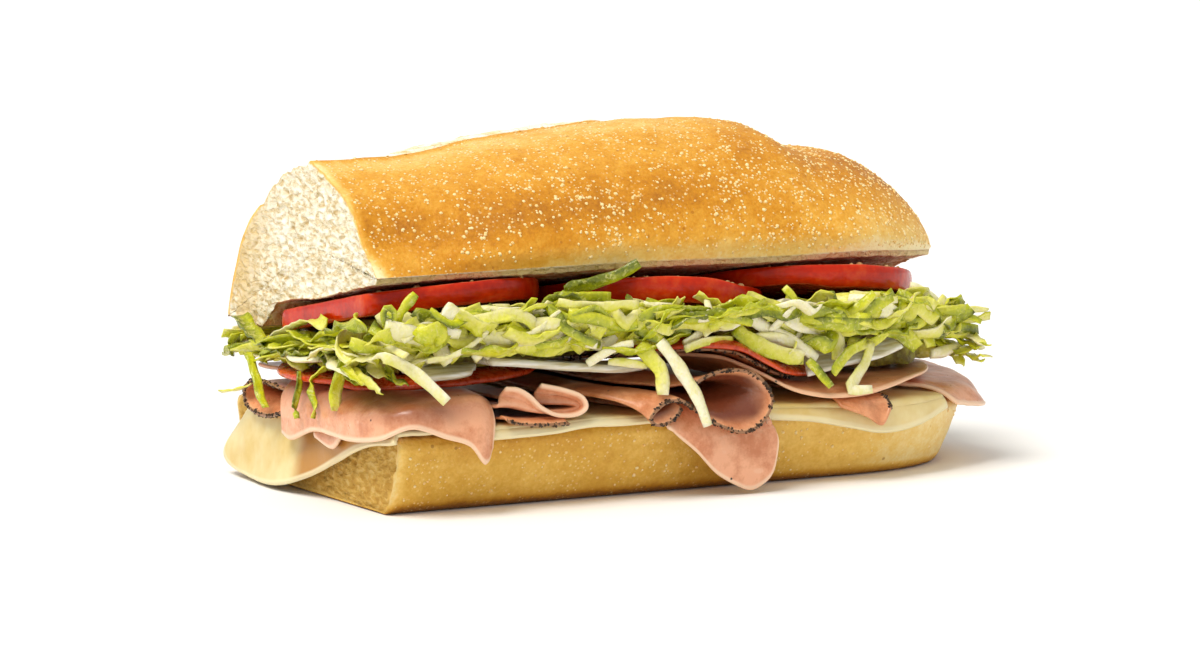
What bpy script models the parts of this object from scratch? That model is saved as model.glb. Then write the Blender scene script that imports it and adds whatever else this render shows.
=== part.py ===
"""Submarine sandwich: half of a long roll, cut across at one end and filled with sliced meat and salad.

The origin is the middle of the bottom roll's flat base. +X runs from the cut end to the rounded end,
-Y is the open front, +Z is up. Sizes in this file are millimetres and become metres in the meshes.
"""
import math
import random

import bmesh
import bpy
import numpy as np
from mathutils import Vector, noise
from mathutils.bvhtree import BVHTree

MM = 0.001
GAP = 0.35                      # clear space kept between pieces that touch

# Driving dimensions of the roll
CUT_X = -81.0                   # the cut end
HEEL_END_X = 81.5               # the bottom roll's rounded end
CROWN_END_X = 83.6              # the top roll's rounded end
HEEL_HEIGHT = 18.2
HEEL_HALF_WIDTH = 41.2
HEEL_BASE_HALF_WIDTH = 34.0
CROWN_FRONT = (-31.0, 53.0)     # y and z of the top roll's front lower edge
CROWN_BACK = (46.3, 35.9)       # y and z of its back lower edge
CROWN_MARGIN = 1.3              # crumb that shows below the crust's lower edge

# Slices
TOMATO_THICKNESS = 4.2
HAM_THICKNESS = 1.1
CHEESE_THICKNESS = 1.3
SALAMI_THICKNESS = 1.3
ONION_THICKNESS = 1.8
LEAF_THICKNESS = 0.7

SEED = 41


def smooth_path(points, count, even=True):
    """A Catmull-Rom curve through the points, read at count places."""
    given = np.array(points, float)
    ends = np.vstack([2 * given[0] - given[1], given, 2 * given[-1] - given[-2]])
    fine = []
    for k in range(1, len(ends) - 2):
        a, b, c, d = ends[k - 1:k + 3]
        for t in np.linspace(0.0, 1.0, 12, endpoint=False):
            fine.append(0.5 * (2 * b + (c - a) * t + (2 * a - 5 * b + 4 * c - d) * t ** 2
                               + (3 * b - a - 3 * c + d) * t ** 3))
    fine.append(given[-1])
    fine = np.array(fine)
    if even:
        run = np.concatenate([[0.0], np.cumsum(np.linalg.norm(np.diff(fine, axis=0), axis=1))])
    else:
        run = np.arange(len(fine), dtype=float)
    wanted = np.linspace(0.0, run[-1], count)
    return np.column_stack([np.interp(wanted, run, fine[:, axis]) for axis in range(fine.shape[1])])


def read_line(points, x):
    """The height at x of a smooth line through a few (x, height) points."""
    line = smooth_path(points, 160, even=False)
    return float(np.interp(x, line[:, 0], line[:, 1]))


def ease(value):
    """A smooth step from 0 to 1."""
    value = min(max(value, 0.0), 1.0)
    return value * value * (3.0 - 2.0 * value)


def mix(a, b, share):
    return a + (b - a) * share


def lump(x, y, z, size):
    """Gentle unevenness between -1 and 1, with lumps of about the given size."""
    return noise.noise(Vector((x / size, y / size, z / size)))


def make_material(name, colour, roughness):
    material = bpy.data.materials.new(name)
    material.use_nodes = True
    shader = material.node_tree.nodes["Principled BSDF"]
    shader.inputs["Base Color"].default_value = (*colour, 1.0)
    shader.inputs["Roughness"].default_value = roughness
    shader.inputs["Metallic"].default_value = 0.0
    return material


def object_from_bmesh(name, shape, material, collection):
    """Turns a bmesh in millimetres into a named object in metres."""
    bmesh.ops.scale(shape, vec=(MM, MM, MM), verts=shape.verts)
    bmesh.ops.recalc_face_normals(shape, faces=shape.faces)
    mesh = bpy.data.meshes.new(name)
    shape.to_mesh(mesh)
    shape.free()
    mesh.materials.append(material)
    mesh.shade_smooth()
    mesh.set_sharp_from_angle(angle=math.radians(45.0))
    piece = bpy.data.objects.new(name, mesh)
    collection.objects.link(piece)
    return piece


# Bread: each half is lofted along X through closed sections

def loft(name, rings, material, collection):
    """A closed solid through rings of points, with a flat face on the first and the last ring."""
    shape = bmesh.new()
    rows = [[shape.verts.new(point) for point in ring] for ring in rings]
    for first, second in zip(rows, rows[1:]):
        for k in range(len(first)):
            after = (k + 1) % len(first)
            shape.faces.new((first[k], first[after], second[after], second[k]))
    shape.faces.new(rows[0])
    shape.faces.new(rows[-1])
    return object_from_bmesh(name, shape, material, collection)


def end_taper(x, start, end, power):
    """Width left at x of a loaf that is full up to start and rounds off at end."""
    if x <= start:
        return 1.0
    reach = min((x - start) / (end - start), 1.0)
    return (1.0 - reach ** power) ** (1.0 / power)


def stations(start, bend, end, straight_count, round_count):
    """Places along X: even up to the bend, then closer and closer towards the rounded end."""
    straight = np.linspace(start, bend, straight_count, endpoint=False)
    turn = np.linspace(0.0, math.pi / 2.0, round_count)
    return np.concatenate([straight, bend + (end - bend) * np.sin(turn)])


CREST = ((-84, 75.9), (-70, 75.4), (-57, 75.2), (-47, 75.9), (-37, 77.1), (-18, 79.1), (1, 80.5), (12, 80.2),
         (20, 80.2), (28, 79.3), (33, 78.0), (38, 74.9), (44, 72.6), (51, 72.0), (58, 70.3), (69, 64.0),
         (77, 56.4), (82, 48.6), (84, 45.0))
CUT_OUTLINE = ((0.0, 0.0), (0.033, 0.126), (0.067, 0.263), (0.095, 0.45), (0.132, 0.615), (0.207, 0.79),
               (0.285, 0.936), (0.346, 1.0), (0.49, 0.895), (0.60, 0.825), (0.695, 0.74), (0.79, 0.58),
               (0.88, 0.39), (0.945, 0.215), (1.0, 0.0))
MIDDLE_OUTLINE = ((0.0, 0.0), (-0.025, 0.12), (-0.005, 0.30), (0.045, 0.50), (0.125, 0.71), (0.235, 0.88),
                  (0.37, 0.985), (0.47, 1.0), (0.60, 0.965), (0.74, 0.86), (0.86, 0.66), (0.95, 0.40),
                  (1.0, 0.18), (1.0, 0.0))
CROWN_OVER = 21                 # points over the crust
CROWN_UNDER = 7                 # points along the crumb underneath
SLASH_END_X = 16.0


def crown_baseline(x):
    """Front and back lower edges of the top roll at x, as two (y, z) pairs."""
    width = end_taper(x, 40.0, CROWN_END_X, 1.65)
    middle = np.array([mix(CROWN_FRONT[0], CROWN_BACK[0], 0.47), mix(CROWN_FRONT[1], CROWN_BACK[1], 0.47)])
    lift = -1.0 * ease((x + 20.0) / 50.0) + 1.2 * ease((x - 60.0) / 26.0)
    front = middle + (np.array(CROWN_FRONT) - middle) * width + np.array([0.0, lift])
    back = middle + (np.array(CROWN_BACK) - middle) * width + np.array([0.0, lift])
    return front, back


def underside(share):
    """How far the crumb lies below (negative) the line between the two lower edges."""
    front_lip = -CROWN_MARGIN * (1.0 - ease((share - 0.35) / 0.25))
    back_sag = -4.4 * ease((share - 0.72) / 0.06) * min((1.0 - share) / 0.22, 1.0)
    return front_lip * ease(share / 0.02) + back_sag


def slash_relief(x, share):
    """The split along the top: a raised lip, a groove behind it and a band that has swelled up."""
    if x > SLASH_END_X:
        return 0.0
    lip = mix(0.346, 0.52, ease((x - CUT_X) / (SLASH_END_X - CUT_X)))
    far = mix(0.70, 0.56, ease((x + 30.0) / (SLASH_END_X + 30.0)))
    fade = ease((SLASH_END_X - x) / 22.0)
    across = (share - lip) / max(far - lip, 0.02)
    ridge = 0.9 * math.exp(-((share - lip) / 0.02) ** 2)
    if across <= 0.0 or across >= 1.0:
        return fade * ridge
    swell = mix(0.2, 2.6, ease((x - CUT_X - 8.0) / 45.0)) * math.sin(math.pi * across)
    groove = -1.3 * math.exp(-((share - lip - 0.035) / 0.02) ** 2)
    far_groove = -1.3 * math.exp(-((share - far + 0.02) / 0.018) ** 2)
    return fade * (ridge + swell + groove + far_groove)


def crown_ring(x):
    front, back = crown_baseline(x)
    along = back - front
    length = np.linalg.norm(along)
    along = along / length
    up = np.array([-along[1], along[0]])
    blend = ease((x - CUT_X) / 45.0)
    cut = smooth_path(CUT_OUTLINE, CROWN_OVER)
    middle = smooth_path(MIDDLE_OUTLINE, CROWN_OVER)
    outline = mix(cut, middle, blend)
    crest_share = mix(0.346, 0.47, blend)
    foot = front + along * length * crest_share
    height = max((read_line(CREST, x) - foot[1]) / up[1], 0.6)
    ring = []
    for share, rise in outline:
        relief = slash_relief(x, share) if rise > 0.3 else 0.0
        relief += 0.35 * lump(x, share * length, rise * height, 14.0) * ease(rise / 0.1)
        place = front + along * length * share + up * (rise * height + relief * min(height / 20.0, 1.0))
        ring.append((x, place[0], place[1]))
    for share in np.linspace(1.0, 0.0, CROWN_UNDER + 2)[1:-1]:
        share = 0.012 if share < 0.1 else share
        fade = min(height / 12.0, 1.0)
        place = front + along * length * share + up * underside(share) * fade
        ring.append((x, place[0], place[1]))
    return ring


def make_crown(material, collection):
    places = stations(CUT_X, 40.0, CROWN_END_X - 0.4, 12, 10)
    return loft("crown", [crown_ring(x) for x in places], material, collection)


HEEL_TOP = ((-84, 18.2), (-40, 17.9), (13, 17.6), (51, 16.6), (70, 15.6), (82, 14.5))
HEEL_SIDE = ((1.0, 0.0), (1.035, 0.05), (1.07, 0.16), (1.115, 0.34), (1.155, 0.55), (1.185, 0.75),
             (1.2, 0.86), (1.175, 0.96), (1.12, 1.0))
HEEL_FLAT_POINTS = 6


def heel_ring(x):
    width = end_taper(x, 38.0, HEEL_END_X, 2.5)
    base_width = HEEL_BASE_HALF_WIDTH * end_taper(x, 38.0, HEEL_END_X - 4.0, 2.5) if x < HEEL_END_X - 4.0 else 0.0
    top = read_line(HEEL_TOP, x)
    tip = ease((x - 60.0) / (HEEL_END_X - 60.0))
    foot = 4.0 * ease((x - (HEEL_END_X - 14.0)) / 14.0)
    side = []
    for share, rise in HEEL_SIDE:
        reach = (share - 1.0) / 0.2
        y = base_width + (HEEL_HALF_WIDTH * width - base_width) * reach
        y += 0.4 * lump(x, y, rise * 20.0, 12.0) * (1.0 - tip) * ease(rise / 0.2)
        z = foot * (1.0 - rise) * ease(width < 0.9) + rise * top
        side.append((y, z))
    front = [(x, -y, z) for y, z in side]
    back = [(x, y + 0.5, z) for y, z in reversed(side)]
    half_top = side[-1][0]
    over = [(x, y, top + 0.15 * lump(x, y, 3.0, 10.0))
            for y in np.linspace(-half_top, half_top, HEEL_FLAT_POINTS + 2)[1:-1]]
    return front + over + back


def make_heel(material, collection):
    places = stations(CUT_X, 38.0, HEEL_END_X - 0.3, 10, 10)
    return loft("heel", [heel_ring(x) for x in places], material, collection)


# Slices: an open sheet of points with Solidify, or a turned disc that is bent afterwards

def sheet(name, grid, thickness, material, collection):
    """A slice through a grid of points (rows, columns, 3), with both faces split alike."""
    rows, columns = grid.shape[:2]
    shape = bmesh.new()
    bmesh.ops.create_grid(shape, x_segments=columns - 1, y_segments=rows - 1, size=1.0)
    for vert in shape.verts:
        column = round((vert.co.x + 1.0) / 2.0 * (columns - 1))
        row = round((vert.co.y + 1.0) / 2.0 * (rows - 1))
        vert.co = grid[row][column]
    bmesh.ops.triangulate(shape, faces=shape.faces)
    piece = object_from_bmesh(name, shape, material, collection)
    solid = piece.modifiers.new("thickness", "SOLIDIFY")
    solid.thickness = thickness * MM
    solid.offset = 0.0
    return piece


def through_ribs(ribs, along, across):
    """A smooth grid through ribs, each a few points from one edge of the slice to the other."""
    drawn = [smooth_path(rib, along, even=False) for rib in ribs]
    return np.array([smooth_path([rib[k] for rib in drawn], across, even=False) for k in range(along)])


def disc(name, centre, radius_at, top_at, thickness, rim, material, collection, segments=26):
    """A round slice: a turned profile whose top face follows top_at(x, y)."""
    soft = 0.5 - 0.5 * rim
    profile = [(0.0, 0.0), (0.45, 0.0), (0.8, 0.0), (0.975, soft * 0.5), (1.0, 0.5), (0.975, 1.0 - soft * 0.5),
               (0.8, 1.0), (0.45, 1.0), (0.0, 1.0)]
    if rim == 1.0:
        profile = [(0.0, 0.0), (0.4, 0.0), (0.75, 0.0), (1.0, 0.0), (1.0, 1.0), (0.75, 1.0), (0.4, 1.0),
                   (0.0, 1.0)]
    shape = bmesh.new()
    spine = [shape.verts.new((share, 0.0, -depth)) for share, depth in profile]
    edges = [shape.edges.new(pair) for pair in zip(spine, spine[1:])]
    bmesh.ops.spin(shape, geom=spine + edges, cent=(0, 0, 0), axis=(0, 0, 1), angle=2 * math.pi,
                   steps=segments, use_merge=True)
    bmesh.ops.remove_doubles(shape, verts=shape.verts, dist=0.0001)
    for vert in shape.verts:
        angle = math.atan2(vert.co.y, vert.co.x)
        share = math.hypot(vert.co.x, vert.co.y)
        reach = radius_at(angle) * share
        x = centre[0] + reach * math.cos(angle)
        y = centre[1] + reach * math.sin(angle)
        vert.co = (x, y, top_at(x, y) + vert.co.z * thickness)
    bmesh.ops.triangulate(shape, faces=shape.faces)
    return object_from_bmesh(name, shape, material, collection)


def wobbly(radius, amount, phase):
    """A round outline that is a little uneven."""
    return lambda angle: radius * (1.0 + amount * math.sin(2 * angle + phase)
                                   + 0.6 * amount * math.sin(3 * angle - 2 * phase))


def crumb_height(y):
    """The crumb's height over the filling, on the line between the top roll's lower edges."""
    slope = (CROWN_BACK[1] - CROWN_FRONT[1]) / (CROWN_BACK[0] - CROWN_FRONT[0])
    return CROWN_FRONT[1] + slope * (y - CROWN_FRONT[0])


def tomato_top(number, x, y):
    """Top face of each tomato slice: they lean on one another like fallen dominoes."""
    level_back = 1.9 * ease((y + 8.0) / 28.0)
    if number == 1:
        return 46.6 + 0.03 * (x - CUT_X) - 0.2 * (y + 18.7)
    if number == 2:
        drop = read_line(((-40, 2.4), (-28, 3.6), (14, 7.8), (32, 8.6)), x)
        return crumb_height(y) - drop + level_back
    return crumb_height(y) - 2.9 - 0.07 * (x - 14.0) + level_back


TOMATOES = {
    1: dict(centre=(-59.6, -3.0), radius=30.2),
    2: dict(centre=(0.6, -5.5), radius=28.6),
    3: dict(centre=(41.7, -5.6), radius=28.6),
}


def make_tomatoes(material, collection):
    for number, size in TOMATOES.items():
        outline = wobbly(size["radius"], 0.012, number * 1.7)

        def radius_at(angle, size=size, outline=outline):
            reach = outline(angle)
            if math.cos(angle) < -0.05:
                reach = min(reach, (CUT_X + 0.05 - size["centre"][0]) / math.cos(angle))
            return reach

        disc(f"tomato_{number}", size["centre"], radius_at, lambda x, y, n=number: tomato_top(n, x, y),
             TOMATO_THICKNESS, 0.5, material, collection, segments=26)


# The meat lies in folds that run from front to back. It is laid out as seen from the front and is
# pressed flatter towards the back, where the roll is nearly shut.

def pressed(z, y):
    return 20.0 + (z - 20.0) * read_line(((-60, 1.0), (-42, 1.0), (-20, 0.93), (0, 0.88), (42, 0.80)), y)


def fold(name, front, back_y, shift, sill, thickness, material, collection, along=26, across=8):
    """A folded slice: its front edge is a path of (x, y, z); it runs back, sideways by shift, to back_y.

    sill holds the height of the fold's lowest run behind the bread's edge, and how much of the fold's
    height is left there.
    """
    edge = smooth_path(front, along)
    foot = edge[:, 2].min()
    rows = []
    for x, y, z in edge:
        low = sill[0] + (z - foot) * sill[1]
        run = [(x, y, z),
               (x - 0.15 * shift, y + 1.6, mix(z, low, 0.48)),
               (x - 0.40 * shift, -43.0, mix(z, low, 0.88)),
               (x - 0.65 * shift, -38.0, low + 0.1),
               (x - shift, -24.0, pressed(low + 0.4, -24.0)),
               (x - shift * 1.1, back_y, pressed(low, back_y))]
        rows.append(smooth_path(run, across, even=False))
    return sheet(name, np.array(rows), thickness, material, collection)


def make_cheese(material, collection):
    level = HEEL_HEIGHT + GAP + CHEESE_THICKNESS / 2.0
    inner = -62.6
    brow = -81.1
    left = [
        [(inner, 39.0, level), (-70, 35, level), (-79.2, 30, level), (-82.9, 27.8, 18.2), (-83.6, 27.5, 16.0)],
        [(inner, 30.0, level), (-72, 27, level), (brow, 24, level), (-83.7, 28, 16.0), (-84.6, 39.0, 7.0)],
        [(inner, 20.0, level), (-72, 20, level), (brow, 19, level), (-84.0, 24, 13.5), (-85.0, 38.5, 2.8)],
        [(inner, 10.0, level), (-72, 11, level), (brow, 11, level), (-84.2, 17, 11.5), (-85.4, 29.0, 1.1)],
        [(inner, 0.0, level), (-72, 2, level), (brow, 2, level), (-84.2, 6, 11.0), (-86.6, 11.0, 1.2)],
        [(inner, -10.0, level), (-72, -9, level), (brow, -9, level), (-83.6, -7, 13.0), (-84.8, -4.0, 5.0)],
        [(inner, -25.0, level), (-72, -25, level), (brow, -25, level), (-83.2, -26, 17.0), (-83.8, -28.0, 14.4)],
        [(inner, -41.8, level), (-72, -42.3, level), (brow, -42.6, level), (-82.8, -43, 18.4), (-83.4, -43.6, 17.4)],
    ]
    sheet("cheese_left", through_ribs(left, 9, 10), CHEESE_THICKNESS, material, collection)

    front_edge = ((-62, 16.8), (-45, 17.0), (-33, 18.0), (-23, 17.6), (-6, 18.0))
    middle = []
    for x in np.linspace(-61.8, -6.6, 7):
        flat = level - 0.1 - 0.004 * (x + 62.0)
        edge = read_line(front_edge, x)
        middle.append([(x, 39.5, flat), (x, 0.0, flat), (x, -38.6, flat), (x, -42.8, mix(flat, edge, 0.3)),
                       (x, -43.9, edge)])
    sheet("cheese_middle", through_ribs(middle, 9, 6), CHEESE_THICKNESS, material, collection)

    hang = ((-6, 17.4), (4, 17.2), (11, 16.4), (23, 15.2), (34, 12.9), (42, 11.2), (50, 11.4), (57, 13.2),
            (64, 15.2))
    right = []
    for x in np.linspace(-5.6, 63.0, 8):
        top = read_line(HEEL_TOP, x)
        flat = top + GAP + 0.35 + CHEESE_THICKNESS / 2.0
        side = HEEL_HALF_WIDTH * end_taper(x, 38.0, HEEL_END_X, 2.5)
        edge = read_line(hang, x)
        right.append([(x, side - 2.0, flat), (x, 0.0, flat), (x, -side + 2.8, flat),
                      (x + 0.3, -side - 1.8, mix(flat, edge, 0.3)), (x + 0.8, -side - 2.7, edge)])
    sheet("cheese_right", through_ribs(right, 9, 11), CHEESE_THICKNESS, material, collection)


HAM_LEFT_RIBS = (
    ((-78, 38, 24.9), (-79, 25, 25.6), (-83.0, 12.4, 26.0), (-86.9, 9.8, 22.0), (-87.0, 9.2, 13.8)),
    ((-75, 38, 24.9), (-77, 18, 25.7), (-83.0, 3.0, 26.0), (-87.0, 0.5, 22.0), (-87.2, 0.0, 13.1)),
    ((-72, 38, 24.9), (-75, 5, 25.8), (-82.0, -12.0, 25.9), (-86.8, -12.0, 22.5), (-87.2, -12.0, 16.6)),
    ((-69, 38, 24.9), (-72, -5, 25.8), (-80.0, -27.0, 26.0), (-86.2, -28.0, 22.5), (-86.9, -28.0, 16.4)),
    ((-66, 38, 24.9), (-69, -8, 25.8), (-77.0, -34.0, 26.1), (-84.6, -39.5, 23.5), (-85.6, -40.5, 18.0)),
    ((-64, 38, 24.9), (-67, -8, 25.8), (-74.0, -36.0, 26.2), (-79.5, -44.5, 25.2), (-80.5, -46.6, 21.0)),
    ((-62, 38, 24.9), (-64, -8, 25.8), (-70.0, -37.0, 26.4), (-72.0, -44.8, 25.0), (-72.5, -47.0, 18.4)),
    ((-60, 38, 24.9), (-61, -8, 25.8), (-65.5, -37.0, 26.5), (-66.5, -44.8, 25.0), (-66.5, -47.5, 16.3)),
    ((-58, 38, 24.9), (-59, -8, 25.6), (-61.5, -37.0, 26.3), (-61.8, -44.6, 24.0), (-62.8, -47.8, 12.0)),
    ((-56.5, 38, 24.9), (-57, -8, 25.6), (-58.6, -36.0, 25.6), (-58.2, -42.8, 21.8), (-59.8, -45.6, 15.0)),
)


def make_ham_left(material, collection):
    """The slice that hangs over the front corner of the cut end, and the corner of one below it."""
    sheet("ham_left", through_ribs(HAM_LEFT_RIBS, 9, 18), HAM_THICKNESS, material, collection)
    corner = [
        [(-66, -5, 22.6), (-76, -7, 21.8), (-82.4, -8, 20.6), (-85.7, -9.0, 16.4), (-85.9, -9.5, 14.6)],
        [(-66, -14, 22.6), (-76, -15, 21.8), (-82.4, -16, 20.6), (-85.6, -17.0, 15.9), (-85.8, -17.5, 13.2)],
        [(-66, -24, 22.6), (-76, -24, 21.8), (-82.4, -24, 20.6), (-85.4, -23.0, 18.2), (-85.7, -22.5, 17.0)],
    ]
    sheet("ham_left_corner", through_ribs(corner, 7, 5), HAM_THICKNESS, material, collection)


def make_ham_roll_left(material, collection):
    """The peppered slice that is rolled flat, with its open end at the cut."""
    mouth = ((-0.5, 23.4), (8.0, 23.6), (17.0, 23.8), (23.5, 23.2), (27.0, 20.6), (25.0, 18.2),
             (18.0, 17.6), (9.5, 19.0), (2.5, 21.4))
    rows = []
    for y, z in smooth_path(mouth, 18):
        inside = 20.9 + (z - 17.6) * 0.36
        rows.append(smooth_path([(-84.8, y, z), (-81.6, y, mix(z, inside, 0.85)), (-75.0, y, inside),
                                 (-66.5, mix(y, 14.0, 0.1), inside)], 6))
    sheet("ham_roll_left", np.array(rows), HAM_THICKNESS * 0.8, material, collection)


def make_ham_folds(material, collection):
    """The folds at the middle of the front: a pleat, a scroll with two mouths, and a hanging tongue."""
    pleat = ((-54.8, -43.0, 27.9), (-52.2, -43.8, 27.6), (-49.6, -44.5, 26.0), (-46.6, -45.0, 23.0),
             (-42.5, -45.0, 21.0), (-37.6, -45.0, 20.9), (-35.2, -45.0, 22.4), (-36.2, -44.5, 24.9),
             (-40.0, -43.5, 26.6), (-45.5, -42.5, 28.0))
    under = [[(x, 39.0, 20.4), (x, -10.0, 20.4), (x, -39.0, 20.4 + 0.3 * rise), (x, -43.6, 20.1 + rise),
              (x + 1.0, -45.4, 19.0 + rise)] for x, rise in ((-56.4, 1.4), (-52.0, 0.4), (-46.0, 0.0), (-41.0, 0.0))]
    sheet("ham_inner", through_ribs(under, 9, 5), HAM_THICKNESS * 0.65, material, collection)
    fold("ham_pleat", pleat, 39.0, 5.5, (21.9, 0.24), HAM_THICKNESS, material, collection, along=20, across=7)

    scroll = ((-12.2, -47.4, 21.0), (-13.2, -48.1, 19.4), (-16.6, -48.8, 17.7), (-19.4, -49.0, 17.6),
              (-20.8, -49.0, 19.4), (-17.4, -48.8, 22.2), (-13.0, -48.8, 22.7), (-9.7, -49.0, 20.8),
              (-4.9, -49.3, 17.3), (1.7, -49.6, 14.6), (6.3, -49.4, 15.2), (9.6, -49.0, 17.8),
              (11.4, -48.2, 22.0), (8.6, -47.4, 26.6), (4.5, -46.8, 28.4), (-0.4, -46.4, 28.6),
              (-4.6, -46.2, 27.4), (-7.6, -46.0, 25.8))
    fold("ham_scroll", scroll, 39.0, 15.0, (23.0, 0.22), HAM_THICKNESS * 0.9, material, collection, along=35)

    tongue_edge = ((-15.2, 16.6), (-12.4, 14.2), (-8.0, 10.6), (-2.8, 5.4), (2.8, 2.1), (6.6, 0.9),
                   (10.6, 2.6), (12.6, 5.4), (13.6, 10.6), (13.0, 13.6), (11.2, 16.0))
    edge = smooth_path(tongue_edge, 12)
    ribs = []
    for k, (x, z) in enumerate(edge):
        share = k / (len(edge) - 1)
        root = mix(-16.5, 8.5, share)
        ribs.append([(root - 12.0, 39.0, 20.4), (root - 10.0, 0.0, 20.4), (root - 2.0, -37.5, 20.4),
                     (mix(root, x, 0.45), -43.6, 20.35), (mix(root, x, 0.7), -46.9, mix(17.4, z, 0.3)),
                     (x, -47.0, z)])
    sheet("ham_tongue", through_ribs(ribs, 11, 12), HAM_THICKNESS, material, collection)


ARCH = ((-30, 29.6), (-12, 31.2), (-3, 31.4), (4.5, 30.4), (9, 28.4), (13, 26.4), (18, 24.2), (24, 23.0),
        (32, 22.6), (45, 22.6), (60, 22.6), (80, 22.6))


def arch(x, y):
    """Height of the slices that lie over the scroll and come down on its right."""
    share = read_line(((-60, 1.0), (-42, 1.0), (-24, 0.86), (0, 0.62), (42, 0.56)), y)
    return 20.0 + (read_line(ARCH, x) - 20.0) * share


def make_upper_slices(ham, salami, collection):
    def ham_right_top(x, y):
        out = max(-y - 37.0, 0.0)
        return arch(x, y) + 0.55 - 0.03 * out ** 2 * ease((x - 6.0) / 14.0)

    disc("ham_right", (32.5, -5.0), wobbly(41.0, 0.012, 0.4), ham_right_top, HAM_THICKNESS, 1.0, ham,
         collection, segments=34)
    disc("ham_thin", (5.0, -16.0), wobbly(28.0, 0.02, 1.1), lambda x, y: arch(x, y) + 2.3, HAM_THICKNESS * 0.8,
         1.0, ham, collection, segments=26)
    disc("salami_right", (8.0, -16.5), wobbly(28.8, 0.01, 2.0), lambda x, y: arch(x, y) + 4.4,
         SALAMI_THICKNESS, 1.0, salami, collection, segments=30)
    disc("salami_left", (-57.0, -1.0), wobbly(31.0, 0.01, 0.7),
         lambda x, y: 28.8 + 0.045 * (x + 84.0) - 0.02 * (y + 30.0), SALAMI_THICKNESS, 1.0, salami,
         collection, segments=30)


def make_ham_right_end(material, collection):
    """The slices that hang over the rounded end, and the peppered corner on the cheese."""
    end = [
        [(44, -24, 20.4), (55, -30, 20.0), (63.0, -35.5, 18.6), (67.0, -39.0, 15.6)],
        [(46, -14, 20.4), (62, -21, 20.2), (74.5, -28.5, 18.2), (79.5, -31.0, 13.4)],
        [(50, -5, 20.4), (66, -9, 20.2), (81.5, -15.5, 18.6), (86.6, -17.0, 11.4)],
        [(50, 8, 20.4), (68, 5, 20.2), (83.0, -1.0, 19.2), (87.6, -3.0, 12.4)],
        [(50, 22, 20.4), (66, 20, 20.2), (79.0, 15.0, 19.4), (84.6, 16.0, 14.6)],
    ]
    sheet("ham_end", through_ribs(end, 7, 9), HAM_THICKNESS, material, collection)
    corner = [
        [(26, 20, 20.1), (28, -20, 20.1), (30.0, -41.0, 20.3), (31.0, -46.2, 18.2)],
        [(36, 20, 20.1), (36, -20, 20.1), (37.0, -41.8, 20.0), (37.5, -47.2, 15.6)],
        [(42, 20, 20.1), (41, -20, 20.1), (41.5, -41.8, 19.8), (41.5, -47.3, 13.4)],
        [(43, 20, 20.1), (43.4, -20, 20.1), (43.8, -41.6, 19.8), (44.6, -46.2, 17.2)],
    ]
    sheet("ham_right_corner", through_ribs(corner, 7, 6), HAM_THICKNESS * 0.9, material, collection)


def make_onion(material, collection):
    middle = [[(-57, y, 33.6 - 0.04 * (y + 40)), (-48, y - 0.6, 32.6 - 0.04 * (y + 40)),
               (-35, y - 0.8, 30.9 - 0.04 * (y + 40)), (-24, y - 0.4, 29.9), (-18, y + 0.5, 29.9)]
              for y in (-40.5, -36.5, -32.0)]
    sheet("onion_middle", through_ribs(middle, 9, 4), ONION_THICKNESS, material, collection)
    left = [[(x, -31.2, 31.9), (x + 0.5, -34.5, 31.6), (x - 0.5, -38.6, 30.2)] for x in (-75.0, -66.0, -58.6)]
    sheet("onion_left", through_ribs(left, 5, 5), ONION_THICKNESS * 0.8, material, collection)
    right = [[(24.0, -43.2, 25.6), (34.0, -42.5, 27.2), (44.0, -41.5, 28.3), (51.0, -40.0, 30.0)],
             [(26.0, -37.6, 29.8), (35.0, -37.4, 30.6), (43.0, -37.0, 31.2), (50.0, -36.5, 31.6)]]
    sheet("onion_right", through_ribs(right, 9, 3), ONION_THICKNESS * 0.8, material, collection)


# Salad: one heap of cut lettuce, a lumpy core with the shreds that show joined to it

CORE_FRONT_Y = -30.0
CORE_BACK_Y = 35.5
CORE_X = (-77.0, 73.0)
ROOF_DROP = ((-90, 11.1), (-60, 9.9), (-28, 9.3), (-20, 9.8), (0, 12.2), (14, 13.4), (34, 14.2), (42, 11.4), (80, 13.0))
BACK_ROOF = 34.2
SHRED_TRIALS = 150
SHRED_LIMIT = 46


def salad_floor(x, y):
    """Height that the heap rests on: the salami on the left, the arched slices on the right."""
    left = 29.5 + 0.045 * (x + 84.0) - 0.02 * (y + 30.0)
    above = mix(mix(5.9, 1.6, ease((x - 38.5) / 6.0)), 1.5, ease((y - 12.5) / 5.0))
    return mix(left, arch(x, y) + above, ease((x + 30.0) / 8.0))


def salad_roof(x, y):
    """Height that the heap reaches: the tomato slices, and the crumb behind them."""
    if y > 25.5:
        return BACK_ROOF
    level_back = 1.7 * ease((y + 8.0) / 28.0) * ease((x + 34.0) / 8.0)
    return crumb_height(y) - read_line(ROOF_DROP, x) + level_back


def core_ring(x):
    tip = 1.0 - 0.45 * ease((abs(x + 2.0) - 60.0) / 15.0)
    ring = []
    for y in (CORE_FRONT_Y, -24.0, -12.0, 0.0, 12.0, 24.0, 27.0, CORE_BACK_Y):
        roof = max(salad_roof(x, y), salad_floor(x, y) + 0.8)
        dip = 0.5 + 0.5 * lump(x, y, 9.0, 9.0)
        ring.append((x + dip, y * tip, roof - 0.5 * dip))
    for y in (CORE_BACK_Y + 0.3, 19.0, 12.6, -4.0, -20.0, CORE_FRONT_Y - 0.4):
        ring.append((x, y * tip, salad_floor(x, y) + 0.1))
    return ring


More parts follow.
